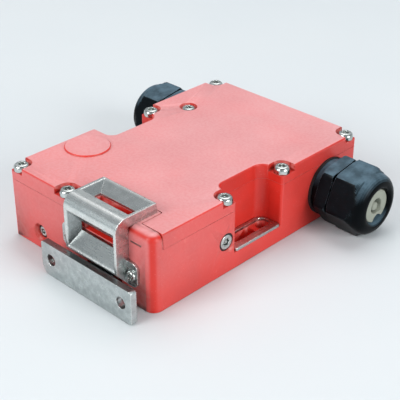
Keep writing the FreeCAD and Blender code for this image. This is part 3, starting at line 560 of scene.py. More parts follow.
@dataclass(frozen=True)
class SheetMetal:
    """Bare metal with drawn lines, stains, scratches, and bright edge wear that also paints a highlight
    along the edges.

    Lengths are in metres and scales in features per metre.
    """

    name: str
    colour: Colour
    dull: Colour
    # Colour of bright metal in scratches, on polished lands and on edges; on lands and edges it is also a
    # painted highlight
    bright: Colour = (0.9, 0.9, 0.87)
    roughness: float = 0.34
    edge: float = 0.0003
    edge_share: float = 0.75
    # Colour of the painted shade in the guide's funnels and of the plate's darker upward faces
    darkening: Colour = (0.14, 0.15, 0.15)
    stain_scale: float = 260.0
    pit_scale: float = 1500.0
    rub_scale: float = 300.0
    drawn: Point = (90.0, 2600.0, 2600.0)
    scratches: Point = (700.0, 130.0, 260.0)
    line_depth: float = 0.00002
    pit_depth: float = 0.00003
    smoothest: float = 0.12

    def build(self) -> bpy.types.Material:
        """Make the material.

        Returns:
            The finished material.
        """
        graph = Graph.of_material(self.name)
        rounded = graph.rounded(self.edge)
        lines = graph.noise(1.0, 3.0, graph.stretched(self.drawn))
        cloud = graph.noise(self.stain_scale, 5.0, roughness=0.66)
        pits = graph.noise(self.pit_scale, 2.0).rise(0.63, 0.74)
        # Brighter edges: edge wear and a painted edge highlight
        edge_wear_and_highlight = graph.rim(rounded).rise(0.015, 0.22) * graph.noise(self.rub_scale).rise(0.25, 0.5, 0.5, 1.0)
        body = graph.mix(cloud.rise(0.35, 0.66), self.colour, self.dull)
        body = graph.mix(pits * 0.55, body, self.dull)
        colour = graph.mix(self._bright_share(graph, edge_wear_and_highlight), body, self.bright)
        # Darker colour: painted shade in the guide's funnels, a darker upward cut edge on the plate
        darkening = self._darkening(graph)
        if darkening is not None:
            colour = graph.mix(darkening, colour, self.darkening)
        rough = self.roughness + (cloud - 0.5) * 0.22 + (lines - 0.5) * 0.12 - edge_wear_and_highlight * 0.1
        scored = graph.bump(lines, 0.35, self.line_depth, rounded)
        pitted = graph.bump(1.0 - pits, 0.35, self.pit_depth, scored)
        return graph.surface(Base_Color=colour, Roughness=rough.most(self.smoothest), Metallic=1.0,
                             Normal=pitted)

    def _bright_share(self, graph: Graph, edge_wear_and_highlight: Value) -> Value:
        """Share of bright metal on edges, in scratches and where it is polished; on edges and polished
        lands it is also a painted highlight.

        Args:
            graph: tree of the material.
            edge_wear_and_highlight: wear on the edges, which also serves as a painted edge highlight.

        Returns:
            The share.
        """
        scratch = graph.noise(1.0, 5.0, graph.stretched(self.scratches)).rise(0.62, 0.72)
        share = edge_wear_and_highlight * self.edge_share + scratch * 0.35
        # Polished shine and painted highlight, where a subclass has them
        polish_and_highlight = self._polish_and_highlight(graph)
        if polish_and_highlight is not None:
            share = share + polish_and_highlight
        return share.least(1.0)

    def _polish_and_highlight(self, graph: Graph) -> Optional[Value]:
        """Share of extra polished shine and painted highlight over the surface; plain sheet has none."""
        return None

    def _darkening(self, graph: Graph) -> Optional[Value]:
        """Share of darker colour over the surface; plain sheet has none."""
        return None


@dataclass(frozen=True)
class GuideMetal(SheetMetal):
    """Sheet of the guide, bright with polished shine and painted highlight on its outer lands, and dull
    with painted shade inside its funnels.
    """

    top_level: float = 0.0452
    front_level: float = 0.0887
    polish_and_highlight_share: float = 0.5
    middle: float = 0.0175
    half_width: float = 0.0168
    land: float = 0.0003
    roll_below: float = 0.0072
    roll_behind: float = 0.0065
    front_shade: float = 0.55
    top_shade: float = 0.165

    def _polish_and_highlight(self, graph: Graph) -> Optional[Value]:
        """Polished shine and painted highlight on the outermost lands.

        Args:
            graph: tree of the material.

        Returns:
            Share of the polished shine and painted highlight.
        """
        _, y, z = graph.split(graph.place())
        # Painted highlight with polished shine: the topmost and frontmost lands made brighter
        top = z.above(self.top_level - 0.0001, 0.0005)
        front = (-y).above(self.front_level - 0.0001, 0.0005)
        return top.most(front) * self.polish_and_highlight_share

    def _darkening(self, graph: Graph) -> Optional[Value]:
        """Painted shade on the walls of both funnels, behind the lands and clear of the roll.

        Args:
            graph: tree of the material.

        Returns:
            Share of the painted shade.
        """
        x, y, z = graph.split(graph.place())
        # Painted shade: funnel walls darkened between the outer lands
        across = abs(x - self.middle).below(self.half_width, 0.0006)
        front = (-y).below(self.front_level - self.land, 0.0006) * z.below(
            self.top_level - self.roll_below, 0.001)
        top = z.below(self.top_level - self.land, 0.0006) * (-y).below(
            self.front_level - self.roll_behind, 0.001)
        return across * (front * self.front_shade).most(top * self.top_shade)


@dataclass(frozen=True)
class PlateMetal(SheetMetal):
    """Stamped plate whose cut edge is darker where it faces up."""

    darkening_share: float = 0.85

    def _darkening(self, graph: Graph) -> Optional[Value]:
        """Darker colour on the upper cut edge."""
        # Darker colour on the faces that point up
        return graph.split(graph.facing())[2].rise(0.8, 0.97) * self.darkening_share


STEEL: Colour = (0.57, 0.605, 0.6)
STEEL_DULL: Colour = (0.43, 0.465, 0.465)


class Finish(Enum):
    """Finishes of the switch's pieces."""

    # Red housing: chalky pallor with painted sheen on its outer faces, painted shade in hollows
    RED = ChalkedSheenPlastic("red_housing_plastic", (0.74, 0.03, 0.018), (0.92, 0.5, 0.45),
                         edge_share=0.22, hollow_shade_share=0.75)
    # Black nylon: painted bluish sheen on upward faces and a strong painted edge highlight
    BLACK = BloomSheenPlastic("black_gland_nylon", (0.002, 0.003, 0.004), (0.12, 0.17, 0.2), 0.3,
                           scuff_share=0.1, edge_share=0.9, edge=0.0003, gloss=0.05)
    WHITE = MouldedPlastic("white_plunger_plastic", (0.75, 0.74, 0.7), (0.6, 0.58, 0.52))
    GREY = MouldedPlastic("grey_contact_plastic", (0.26, 0.27, 0.28), (0.4, 0.4, 0.4))
    COIL = MouldedPlastic("dark_coil_wrap", (0.03, 0.03, 0.035), (0.1, 0.09, 0.08), 0.5)
    RUBBER = MouldedPlastic("black_ring_rubber", (0.012, 0.012, 0.013), (0.05, 0.05, 0.05), 0.62)
    # Beige insert: painted shade in its hollows
    INSERT = MouldedPlastic("beige_insert_rubber", (0.36, 0.38, 0.31), (0.55, 0.57, 0.5), 0.55,
                            hollow_shade=(0.02, 0.022, 0.02), hollow_shade_share=0.8, hollow_shade_reach=0.002)
    STAINLESS = SheetMetal("stainless_sheet", STEEL, STEEL_DULL, roughness=0.3, edge=0.0006,
                           edge_share=1.0)
    # Guide: painted highlight on its outer lands, painted shade in its funnels
    GUIDE = GuideMetal("guide_sheet", (0.64, 0.68, 0.672), (0.49, 0.525, 0.52), roughness=0.28,
                       edge=0.0005, edge_share=1.0)
    PLATE = PlateMetal("plate_sheet", STEEL, STEEL_DULL, roughness=0.3, edge=0.0006,
                       edge_share=1.0)
    ZINC = SheetMetal("zinc_plated_steel", (0.66, 0.69, 0.67), (0.4, 0.43, 0.41), roughness=0.24)
    GROUND = SheetMetal("ground_steel", (0.58, 0.58, 0.58), (0.46, 0.46, 0.46), roughness=0.24)
    CAST = SheetMetal("die_cast_cam", (0.42, 0.43, 0.44), (0.3, 0.31, 0.32), roughness=0.45)
    COPPER = SheetMetal("copper_bridge", (0.78, 0.36, 0.2), (0.5, 0.24, 0.14), (0.9, 0.55, 0.4), 0.3)
    BRASS = SheetMetal("brass_stud", (0.72, 0.5, 0.2), (0.5, 0.34, 0.14), (0.9, 0.75, 0.45), 0.3)


SLOT_FINISH: Dict[str, Finish] = {
    "red_plastic": Finish.RED,
    "black_nylon": Finish.BLACK,
    "black_rubber": Finish.RUBBER,
    "beige_rubber": Finish.INSERT,
    "stainless": Finish.STAINLESS,
    "zinc_steel": Finish.ZINC,
    "shaft_steel": Finish.GROUND,
    "cam_zinc": Finish.CAST,
    "copper": Finish.COPPER,
    "brass": Finish.BRASS,
    "white_plastic": Finish.WHITE,
    "grey_plastic": Finish.GREY,
    "coil_plastic": Finish.COIL,
}
NODE_FINISH: Dict[str, Finish] = {"guide": Finish.GUIDE, "actuator_plate": Finish.PLATE}


class Paintbox:
    """Builds each finish once and puts it on objects."""

    def __init__(self) -> None:
        """Start with no material made."""
        self.made: Dict[Finish, bpy.types.Material] = {}

    def material(self, finish: Finish) -> bpy.types.Material:
        """Material of a finish, made on first use.

        Args:
            finish: the finish.

        Returns:
            Its material.
        """
        if finish not in self.made:
            self.made[finish] = finish.value.build()
        return self.made[finish]

    def dress(self, obj: bpy.types.Object, finish: Finish) -> None:
        """Put a finish on every material slot of an object.

        Args:
            obj: the mesh object.
            finish: the finish it takes.
        """
        material = self.material(finish)
        if not obj.material_slots:
            obj.data.materials.append(material)
        for slot in obj.material_slots:
            slot.material = material

    def hand_over(self, obj: bpy.types.Object, slot: str, body: str, *nodes: str) -> None:
        """Dress a finished piece and say what it stands for and what it moves with.

        Args:
            obj: the piece.
            slot: material slot.
            body: body that the piece rides on.
            nodes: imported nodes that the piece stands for.
        """
        self.dress(obj, SLOT_FINISH[slot])
        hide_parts(*nodes)
        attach(obj, body)
        log.info("built %s for %s", obj.name, ", ".join(nodes))


class Facing(Enum):
    """Ways a piece may face, as the directions of its own x, y and z."""

    UP = ((1, 0, 0), (0, 1, 0), (0, 0, 1))
    FRONT = ((1, 0, 0), (0, 0, 1), (0, -1, 0))
    RIGHT = ((0, 1, 0), (0, 0, 1), (1, 0, 0))
    LEFT = ((0, -1, 0), (0, 0, 1), (-1, 0, 0))

    @property
    def outward(self) -> Vector:
        """Direction that the piece faces."""
        return Vector(self.value[2])

    @property
    def hand(self) -> float:
        """-1 on the left side, where shapes are mirrored, and 1 elsewhere."""
        return -1.0 if self is Facing.LEFT else 1.0

    def mirrored(self, angle: float) -> float:
        """Angle about the axis in radians, mirrored on the left side."""
        return math.pi - angle if self is Facing.LEFT else angle

    def stand(self, at: Sequence[float]) -> Matrix:
        """Matrix from a piece's own millimetres to the switch.

        Args:
            at: place of the piece's origin in metres.

        Returns:
            The matrix.
        """
        turn = Matrix([Vector(axis) for axis in self.value]).transposed().to_4x4()
        return Matrix.Translation(Vector(at)) @ turn @ Matrix.Scale(MM, 4)


@dataclass
class Wheel:
    """Points round an axis that rings of a turned piece share."""

    count: int = 72
    lobe: float = 0.14
    thread_steps: int = 8
    thread_depth: float = 0.45
    thread_fade: float = 4.0

    def ring(self, level: float, radius: Callable[[float], float]) -> Ring:
        """Ring whose radius depends on the angle.

        Args:
            level: height of the ring along the axis.
            radius: radius at an angle in radians.

        Returns:
            The ring's points.
        """
        points = []
        for index in range(self.count):
            angle = 2 * math.pi * index / self.count
            reach = radius(angle)
            points.append((reach * math.cos(angle), reach * math.sin(angle), level))
        return points

    def circle(self, level: float, radius: float) -> Ring:
        """Round ring."""
        return self.ring(level, lambda angle: radius)

    def star(self, level: float, radius: float) -> Ring:
        """Six lobed ring of a star socket."""
        return self.ring(level, lambda angle: radius * (1 - self.lobe + self.lobe * math.cos(6 * angle)))

    def hexagon(self, level: float, corner: float, limit: float, turn: float) -> Ring:
        """Hexagonal ring with its corners cut to a limit.

        Args:
            level: height of the ring along the axis.
            corner: radius of the sharp corners.
            limit: largest radius.
            turn: angle of one corner in radians.

        Returns:
            The ring's points.
        """
        side = math.pi / 3
        flat = corner * math.cos(side / 2)

        def radius(angle: float) -> float:
            """Radius of the hexagon at an angle."""
            return min(limit, flat / math.cos((angle - turn) % side - side / 2))
        return self.ring(level, radius)

    def thread(self, start: float, stop: float, radius: float, pitch: float) -> List[Ring]:
        """Rings of a screw thread with a true helix, fading out at both ends.

        Args:
            start: level of the first ring.
            stop: level of the last ring.
            radius: radius of the crests.
            pitch: advance in one turn.

        Returns:
            The rings in order.
        """
        steps = max(2, round((stop - start) / pitch * self.thread_steps))
        rings = []
        for step in range(steps + 1):
            level = start + (stop - start) * step / steps
            fade = min(1.0, self.thread_fade * min(step, steps - step) / steps)
            depth = pitch * self.thread_depth * fade

            def cut(angle: float, level: float = level, depth: float = depth) -> float:
                """Radius of the thread at an angle."""
                phase = (level / pitch - angle / (2 * math.pi)) % 1.0
                return radius - depth * abs(2 * phase - 1)
            rings.append(self.ring(level, cut))
        return rings


def make_object(name: str, built: bmesh.types.BMesh) -> bpy.types.Object:
    """End the work on a mesh and put it in the scene as an object.

    Args:
        name: name of the object.
        built: the mesh, which is used up.

    Returns:
        The object.
    """
    mesh = bpy.data.meshes.new(name)
    built.to_mesh(mesh)
    built.free()
    obj = bpy.data.objects.new(name, mesh)
    bpy.context.collection.objects.link(obj)
    return obj


def welded(node: str) -> bmesh.types.BMesh:
    """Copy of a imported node's mesh with its loose corners welded.

    Args:
        node: name of the node.

    Returns:
        The copy, open for more work.
    """
    built = bmesh.new()
    built.from_mesh(frame["nodes"][node].data)
    bmesh.ops.remove_doubles(built, verts=built.verts, dist=WELD)
    return built


def middle_of(low: Sequence[float], high: Sequence[float]) -> Vector:
    """Centre of a box."""
    return (Vector(low) + Vector(high)) / 2


def solids(node: str) -> List[Tuple[Vector, Vector]]:
    """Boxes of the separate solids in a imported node.

    Args:
        node: name of the node.

    Returns:
        Lowest and highest corner of each solid in metres.
    """
    built = welded(node)
    left = set(built.verts)
    boxes = []
    while left:
        reached = [left.pop()]
        for vert in reached:
            for edge in vert.link_edges:
                other = edge.other_vert(vert)
                if other in left:
                    left.remove(other)
                    reached.append(other)
        corners = list(zip(*(vert.co for vert in reached)))
        boxes.append((Vector(map(min, corners)), Vector(map(max, corners))))
    built.free()
    return sorted(boxes, key=lambda box: tuple(box[0]))


class Workpiece:
    """A mesh made of rings of points, drawn in millimetres about its own axis."""

    def __init__(self, name: str) -> None:
        """Start an empty piece.

        Args:
            name: name of the piece.
        """
        self.name = name
        self.built = bmesh.new()

    def skin(self, rings: Sequence[Ring], closed: bool = True) -> None:
        """Add a surface over rings with as many points each.

        Args:
            rings: the rings in order.
            closed: whether a face closes the first ring and another the last.
        """
        rows = [[self.built.verts.new(point) for point in ring] for ring in rings]
        count = len(rows[0])
        for near, far in zip(rows, rows[1:]):
            for index in range(count):
                ahead = (index + 1) % count
                self.built.faces.new((near[index], near[ahead], far[ahead], far[index]))
        if closed:
            self.built.faces.new(rows[0][::-1])
            self.built.faces.new(rows[-1])

    def loop(self, rings: Sequence[Ring]) -> None:
        """Add a surface over rings whose last one meets the first again."""
        self.skin([*rings, rings[0]], closed=False)
        bmesh.ops.remove_doubles(self.built, verts=self.built.verts, dist=LOOP_WELD)

    def place(self, stand: Matrix) -> bpy.types.Object:
        """Turn the piece into an object with smooth sides and sharp edges.

        Args:
            stand: matrix from the piece's millimetres to the switch.

        Returns:
            The object.
        """
        self.built.transform(stand)
        bmesh.ops.recalc_face_normals(self.built, faces=self.built.faces)
        obj = make_object(self.name, self.built)
        obj.data.shade_smooth()
        obj.data.set_sharp_from_angle(angle=math.radians(TURNED_SHARP))
        return obj


@dataclass
class PackedNodes:
    """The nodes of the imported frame, each with its own finish."""

    paint: Paintbox
    eased: Tuple[str, ...] = ("actuator_plate", "tongue_blade", "wear_plate_right", "wear_plate_left")
    ease: float = 0.0003
    ease_steps: int = 3
    ease_angle: float = 50.0

    def build(self) -> None:
        """Give every node the finish of its slot, and some nodes eased edges."""
        slots = {part["node"]: part["material_slot"] for part in frame["record"]["subparts"]}
        for name, obj in frame["nodes"].items():
            self.paint.dress(obj, NODE_FINISH.get(name, SLOT_FINISH[slots[name]]))
            log.info("dressed %s as %s", name, slots[name])
        for name in self.eased:
            self._ease(frame["nodes"][name])

    def _ease(self, obj: bpy.types.Object) -> None:
        """Round the edges of a plate with modifiers.

        Args:
            obj: the plate's object.
        """
        weld = obj.modifiers.new("weld", "WELD")
        weld.merge_threshold = WELD
        bevel = obj.modifiers.new("eased_edges", "BEVEL")
        bevel.width = self.ease
        bevel.segments = self.ease_steps
        bevel.limit_method = "ANGLE"
        bevel.angle_limit = math.radians(self.ease_angle)
        bevel.harden_normals = True


@dataclass
class MouldedShell:
    """Neighbouring moulded nodes joined into one skin without lines between them."""

    paint: Paintbox
    name: str
    nodes: Tuple[str, ...]
    slot: str = "red_plastic"
    let_down: float = 0.0
    rim: float = 0.00001
    sharp: float = 30.0

    def build(self) -> None:
        """Join the nodes, smooth the skin and put it in their place."""
        shell = make_object(self.name, welded(self.nodes[0]))
        for node in self.nodes[1:]:
            self._add(shell, make_object(self.name, welded(node)))
        if self.let_down:
            self._lower_rim(shell)
        shell.name = self.name
        shell.data.shade_smooth()
        shell.data.set_sharp_from_angle(angle=math.radians(self.sharp))
        weighted = shell.modifiers.new("flat_faces", "WEIGHTED_NORMAL")
        weighted.keep_sharp = True
        self.paint.hand_over(shell, self.slot, "housing", *self.nodes)

    def _lower_rim(self, shell: bpy.types.Object) -> None:
        """Lower the rim, so that only a thin line is left above the next shell.

        Args:
            shell: the joined shell.
        """
        lowest = min(vert.co.z for vert in shell.data.vertices)
        for vert in shell.data.vertices:
            if vert.co.z < lowest + self.rim:
                vert.co.z -= self.let_down

    def _add(self, shell: bpy.types.Object, part: bpy.types.Object) -> None:
        """Fuse one more part into the shell.

        Args:
            shell: object that grows.
            part: object that is used up.
        """
        fuse = shell.modifiers.new("fuse", "BOOLEAN")
        fuse.operation = "UNION"
        fuse.solver = "EXACT"
        fuse.object = part
        bpy.context.view_layer.update()
        graph = bpy.context.evaluated_depsgraph_get()
        mesh = bpy.data.meshes.new_from_object(shell.evaluated_get(graph))
        shell.modifiers.clear()
        shell.data = mesh
        bpy.data.objects.remove(part)


@dataclass
class StarScrew:
    """Domed screw with a six lobed socket and a pin in the socket."""

    paint: Paintbox
    head_radius: float
    head: float
    socket_radius: float
    shank_radius: float
    shank: float
    dome: float = 0.62
    dome_steps: int = 8
    rim_break: float = 0.15
    rim_lift: float = 0.12
    land: float = 0.25
    tip: float = 0.6
    tip_share: float = 0.8
    socket: float = 1.7
    mouth: float = 0.12
    mouth_depth: float = 0.2
    socket_taper: float = 0.96
    pin_radius: float = 0.55
    pin_drop: float = 0.5
    pin_break: float = 0.15
    pin_share: float = 0.7

    def place(self, name: str, stand: Matrix, node: str) -> None:
        """Make one screw.

        Args:
            name: name of the piece.
            stand: where the underside of the head is and how it faces.
            node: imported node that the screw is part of.
        """
        wheel = Wheel()
        piece = Workpiece(name)
        piece.skin(self._outside(wheel) + self._inside(wheel))
        self.paint.hand_over(piece.place(stand), "zinc_steel", "housing", node)

    def _outside(self, wheel: Wheel) -> List[Ring]:
        """Rings from the tip of the shank over the rim to the land round the socket.

        Args:
            wheel: points that the rings share.

        Returns:
            The rings in order, with the underside of the head at level 0.
        """
        rim = self.head_radius
        edge = self.head * (1 - self.dome)
        rings = [wheel.circle(-self.shank, self.shank_radius * self.tip_share),
                 wheel.circle(-self.shank + self.tip, self.shank_radius),
                 wheel.circle(0.0, self.shank_radius), wheel.circle(0.0, rim - self.rim_break),
                 wheel.circle(self.rim_lift, rim), wheel.circle(edge, rim)]
        inner = self.socket_radius + self.land
        for step in range(1, self.dome_steps + 1):
            turn = math.pi / 2 * step / self.dome_steps
            rise = self.head * self.dome * math.sin(turn)
            rings.append(wheel.circle(edge + rise, inner + (rim - inner) * math.cos(turn)))
        return rings

    def _inside(self, wheel: Wheel) -> List[Ring]:
        """Rings from the mouth of the socket over its floor to the top of the pin.

        Args:
            wheel: points that the rings share.

        Returns:
            The rings in order.
        """
        floor = self.head - self.socket
        pin_top = self.head - self.pin_drop
        return [wheel.star(self.head, self.socket_radius + self.mouth),
                wheel.star(self.head - self.mouth_depth, self.socket_radius),
                wheel.star(floor, self.socket_radius * self.socket_taper),
                wheel.circle(floor, self.pin_radius),
                wheel.circle(pin_top - self.pin_break, self.pin_radius),
                wheel.circle(pin_top, self.pin_radius * self.pin_share)]


@dataclass
class CoverScrews:
    """The eight screws of the cover."""

    paint: Paintbox
    packed_head: float = 3.2

    def build(self) -> None:
        """Set one screw on each seat."""
        screw = StarScrew(self.paint, head_radius=4.0, head=3.5, socket_radius=2.0,
                          shank_radius=1.6, shank=9.0)
        for number, (low, high) in enumerate(solids("cover_screws")):
            middle = middle_of(low, high)
            seat = (middle.x, middle.y, high.z - self.packed_head * MM)
            screw.place("cover_screw_%d" % number, Facing.UP.stand(seat), "cover_screws")


@dataclass
class GuideScrews:
    """The two screws through the ears of the guide."""

    paint: Paintbox
    packed_head: float = 1.6

    def build(self) -> None:
        """Set one screw on each ear."""
        screw = StarScrew(self.paint, head_radius=2.6, head=1.5, socket_radius=1.35,
                          shank_radius=1.4, shank=1.1, socket=1.1, pin_radius=0.4, pin_drop=0.35)
        for number, (low, high) in enumerate(solids("guide_screws")):
            middle = middle_of(low, high)
            seat = (middle.x, low.y + self.packed_head * MM, middle.z)
            screw.place("guide_screw_%d" % number, Facing.FRONT.stand(seat), "guide_screws")


@dataclass
class ReleaseScrew:
    """Flush release screw with a star socket, a pin and a spindle with a flat."""

    paint: Paintbox
    node: str
    body: str
    facing: Facing
    head_radius: float
    spindle_radius: float
    socket_radius: float
    head: float = 3.0
    # Level and set back of the rings that round the rim
    rim: Tuple[Tuple[float, float], ...] = ((-0.3, 0.0), (-0.1, 0.08), (0.0, 0.3))
    flat: float = 6.0
    flat_share: float = 0.4
    # Level and share of the socket's radius, from its mouth to its floor and up the pin
    socket: Tuple[Tuple[float, float], ...] = ((-0.2, 1.0), (-1.8, 0.96))
    mouth: float = 0.15
    pin: Tuple[Tuple[float, float], ...] = ((-1.8, 0.34), (-0.35, 0.34), (-0.2, 0.26))

    def build(self) -> None:
        """Turn the screw in place of its node."""
        low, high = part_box(self.node)
        length = max(Vector(high) - Vector(low)) / MM
        face = middle_of(low, high) + self.facing.outward * (length * MM / 2)
        wheel = Wheel()
        rings = self._spindle(wheel, -length) + self._head(wheel)
        piece = Workpiece(self.node + "_turned")
        piece.skin(rings)
        screw = piece.place(self.facing.stand(face))
        self.paint.hand_over(screw, "zinc_steel", self.body, self.node)

    def _spindle(self, wheel: Wheel, end: float) -> List[Ring]:
        """Rings of the spindle, with the flat cut on the upper side of its end.

        Args:
            wheel: points that the rings share.
            end: level of the spindle's end.

        Returns:
            The rings in order.
        """
        plain = [wheel.circle(level, self.spindle_radius) for level in (end, end + self.flat)]
        top = self.spindle_radius * self.flat_share
        cut = [[(x, min(y, top), z) for x, y, z in ring] for ring in plain]
        return [*cut, plain[1], wheel.circle(-self.head, self.spindle_radius)]

    def _head(self, wheel: Wheel) -> List[Ring]:
        """Rings of the head, its socket and the pin, with the face at level 0.

        Args:
            wheel: points that the rings share.

        Returns:
            The rings in order.
        """
        radius = self.socket_radius
        rings = [wheel.circle(-self.head, self.head_radius)]
        rings += [wheel.circle(level, self.head_radius - back) for level, back in self.rim]
        rings.append(wheel.star(0.0, radius + self.mouth))
        rings += [wheel.star(level, radius * share) for level, share in self.socket]
        rings += [wheel.circle(level, radius * share) for level, share in self.pin]
        return rings


@dataclass
class RubberInsert:
    """Rubber ring of a gland, with a notch below and a loose core deep in its hole."""

    paint: Paintbox
    side: str
    facing: Facing
    points: int = 120
    radius: float = 8.85
    length: float = 8.0
    face_break: float = 0.4
    notch_length: float = 3.9
    notch_step: float = 0.1
    notch_depth: float = 3.1
    notch_half: float = 0.42
    notch_at: float = 0.18 - math.pi / 2
    hole_radius: float = 4.1
    hole_break: float = 0.3
    hole_length: float = 4.4
    corner: float = 1.7
    corner_half: float = 0.34
    corner_at: float = -0.75
    rear_hole: float = 3.4
    core_shift: Tuple[float, float] = (0.5, -0.9)
    # Level from the face and radius of the core's rings
    core: Tuple[Tuple[float, float], ...] = ((-7.5, 2.6), (-3.4, 2.6), (-1.8, 2.5), (-1.2, 2.1),
                                             (-0.95, 1.4), (-0.9, 0.3))

    def build(self, wall: Vector, front: float) -> None:
        """Make the insert.

        Args:
            wall: centre of the gland on the wall.
            front: level of the insert's face.
        """
        wheel = Wheel(self.points)
        back = front - self.length
        piece = Workpiece("gland_insert_%s" % self.side)
        piece.loop([wheel.circle(back, self.radius),
                    wheel.circle(front - self.notch_length - self.notch_step, self.radius),
                    wheel.ring(front - self.notch_length, self._outer),
                    wheel.ring(front - self.face_break, self._outer),
                    wheel.ring(front, lambda angle: self._outer(angle) - self.face_break),
                    wheel.ring(front, lambda angle: self._inner(angle) + self.hole_break),
                    wheel.ring(front - self.hole_break, self._inner),
                    wheel.circle(front - self.hole_length, self.rear_hole),
                    wheel.circle(back, self.rear_hole)])
        across, up = self.core_shift
        piece.skin([[(x + across * self.facing.hand, y + up, z)
                     for x, y, z in wheel.circle(front + level, radius)]
                    for level, radius in self.core])
        made = piece.place(self.facing.stand(wall))
        self.paint.hand_over(made, "beige_rubber", "housing", "gland_seal_" + self.side)

    def _swing(self, angle: float, centre: float) -> float:
        """Unsigned angle between an angle and a centre, which is mirrored on the left."""
        return abs((angle - self.facing.mirrored(centre) + math.pi) % (2 * math.pi) - math.pi)

    def _outer(self, angle: float) -> float:
        """Outer radius, drawn in over the notch."""
        off = self._swing(angle, self.notch_at) / self.notch_half
        return self.radius - self.notch_depth * math.sqrt(max(0.0, 1.0 - off * off))

    def _inner(self, angle: float) -> float:
        """Radius of the hole, with a small corner to one side."""
        off = self._swing(angle, self.corner_at) / self.corner_half
        return self.hole_radius + self.corner * max(0.0, 1.0 - off)


@dataclass
class CableGland:
    """Cable gland on one side: body, clamping nut and rubber insert."""

    paint: Paintbox
    side: str
    facing: Facing
    points: int = 120
    turn: float = 8.5
    thread: float = 12.3
    thread_fit: float = 0.1
    pitch: float = 1.5
    tail: float = 9.0
    washer: float = 1.4
    collar: float = 14.8
    collar_break: Tuple[float, float] = (0.4, 0.3)
    bore: float = 9.4
    body_corner: float = 18.0
    hexagon: Tuple[float, float] = (4.8, 12.0)
    # Distance from the end of the hexagon and depth under its corners
    near_chamfer: Tuple[Tuple[float, float], ...] = ((0.0, 1.4), (0.5, 0.5), (1.1, 0.15))
    far_chamfer: Tuple[Tuple[float, float], ...] = ((0.8, 0.15), (0.3, 0.6), (0.0, 1.6))
    neck_end: float = 19.5
    nut_corner: float = 18.6
    nut_bore: float = 9.0
    nut_thread: float = 9.0
    nut_length: float = 19.5
    # Level in the nut and largest radius there: chamfer, flats, cone, round nose, rolled lip
    nut_profile: Tuple[Tuple[float, float], ...] = (
        (0.0, 17.0), (0.3, 17.9), (0.8, 18.5), (11.9, 18.55), (12.6, 18.1), (13.9, 16.9),
        (14.5, 16.3), (15.4, 16.05), (16.5, 15.75), (17.5, 15.1), (18.3, 14.3), (18.95, 13.3),
        (19.35, 12.2), (19.5, 11.2), (19.4, 10.5), (19.0, 9.85), (18.3, 9.35), (17.3, 9.0),
        (16.6, 8.9))
    insert_set_back: float = 1.6

    def build(self) -> None:
        """Build the three pieces of this gland."""
        low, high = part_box("gland_washer_" + self.side)
        middle = middle_of(low, high)
        reach = min(abs(low[0]), abs(high[0]))
        wall = Vector((self.facing.outward.x * reach, middle.y, middle.z))
        low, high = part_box("gland_nut_" + self.side)
        nut_start = (min(abs(low[0]), abs(high[0])) - reach) / MM
        self._body(wall)
        self._nut(wall, nut_start)
        front = nut_start + self.nut_length - self.insert_set_back
        RubberInsert(self.paint, self.side, self.facing).build(wall, front)

    def _hexagon(self, wheel: Wheel, level: float, corner: float, limit: float) -> Ring:
        """Ring of a hexagon that has the turn of this gland.

        Args:
            wheel: points that the rings share.
            level: height of the ring along the axis.
            corner: radius of the sharp corners.
            limit: largest radius.

        Returns:
            The ring's points.
        """
        return wheel.hexagon(level, corner, limit, self.facing.mirrored(math.radians(self.turn)))

    def _finish(self, part: str, rings: List[Ring], wall: Vector) -> None:
        """Make a black piece of the gland from its rings.

        Args:
            part: name of the part, such as nut.
            rings: rings that close on themselves.
            wall: centre of the gland on the wall.
        """
        node = "gland_%s_%s" % (part, self.side)
        piece = Workpiece(node + "_turned")
        piece.loop(rings)
        made = piece.place(self.facing.stand(wall))
        self.paint.hand_over(made, "black_nylon", "housing", node)

    def _body(self, wall: Vector) -> None:
        """Threaded tail, collar, hexagon and threaded neck.

        Args:
            wall: centre of the gland on the wall.
        """
        wheel = Wheel(self.points)
        near, far = self.hexagon
        rings = [wheel.circle(-self.tail, self.bore)]
        rings += wheel.thread(-self.tail, self.washer, self.thread, self.pitch)
        along, inward = self.collar_break
        rings += [wheel.circle(self.washer, self.collar), wheel.circle(near - along, self.collar),
                  wheel.circle(near, self.collar - inward)]
        rings += [self._hexagon(wheel, near + along, self.body_corner, self.body_corner - cut)
                  for along, cut in self.near_chamfer]
        rings += [self._hexagon(wheel, far - along, self.body_corner, self.body_corner - cut)
                  for along, cut in self.far_chamfer]
        rings += wheel.thread(far, self.neck_end, self.thread, self.pitch)
        rings.append(wheel.circle(self.neck_end, self.bore))
        self._finish("body", rings, wall)

    def _nut(self, wall: Vector, start: float) -> None:
        """Hexagon that runs out into a round nose with a rolled lip.

        Args:
            wall: centre of the gland on the wall.
            start: level of the nut's open end.
        """
        wheel = Wheel(self.points)
        thread = self.thread + self.thread_fit
        inner_end = start + self.nut_thread
        rings = [wheel.circle(start, thread)]
        rings += [self._hexagon(wheel, start + level, self.nut_corner, limit)
                  for level, limit in self.nut_profile]
        rings += [wheel.circle(inner_end, self.nut_bore), wheel.circle(inner_end, thread)]
        self._finish("nut", rings, wall)


@dataclass(frozen=True)
class Lamp:
    """Square area lamp aimed at the middle of the switch."""

    name: str
    at: Point
    size: float
    watts: float
    aim: Point = (0.0, 0.0, 0.02)

    def hang(self) -> None:
        """Put the lamp in the scene."""
        data = bpy.data.lights.new(self.name, "AREA")
        data.energy = self.watts
        data.size = self.size
        lamp = bpy.data.objects.new(self.name, data)
        lamp.location = self.at
        toward = Vector(self.aim) - Vector(self.at)
        lamp.rotation_euler = toward.to_track_quat("-Z", "Y").to_euler()
        bpy.context.collection.objects.link(lamp)
        log.info("hung the %s lamp", self.name)


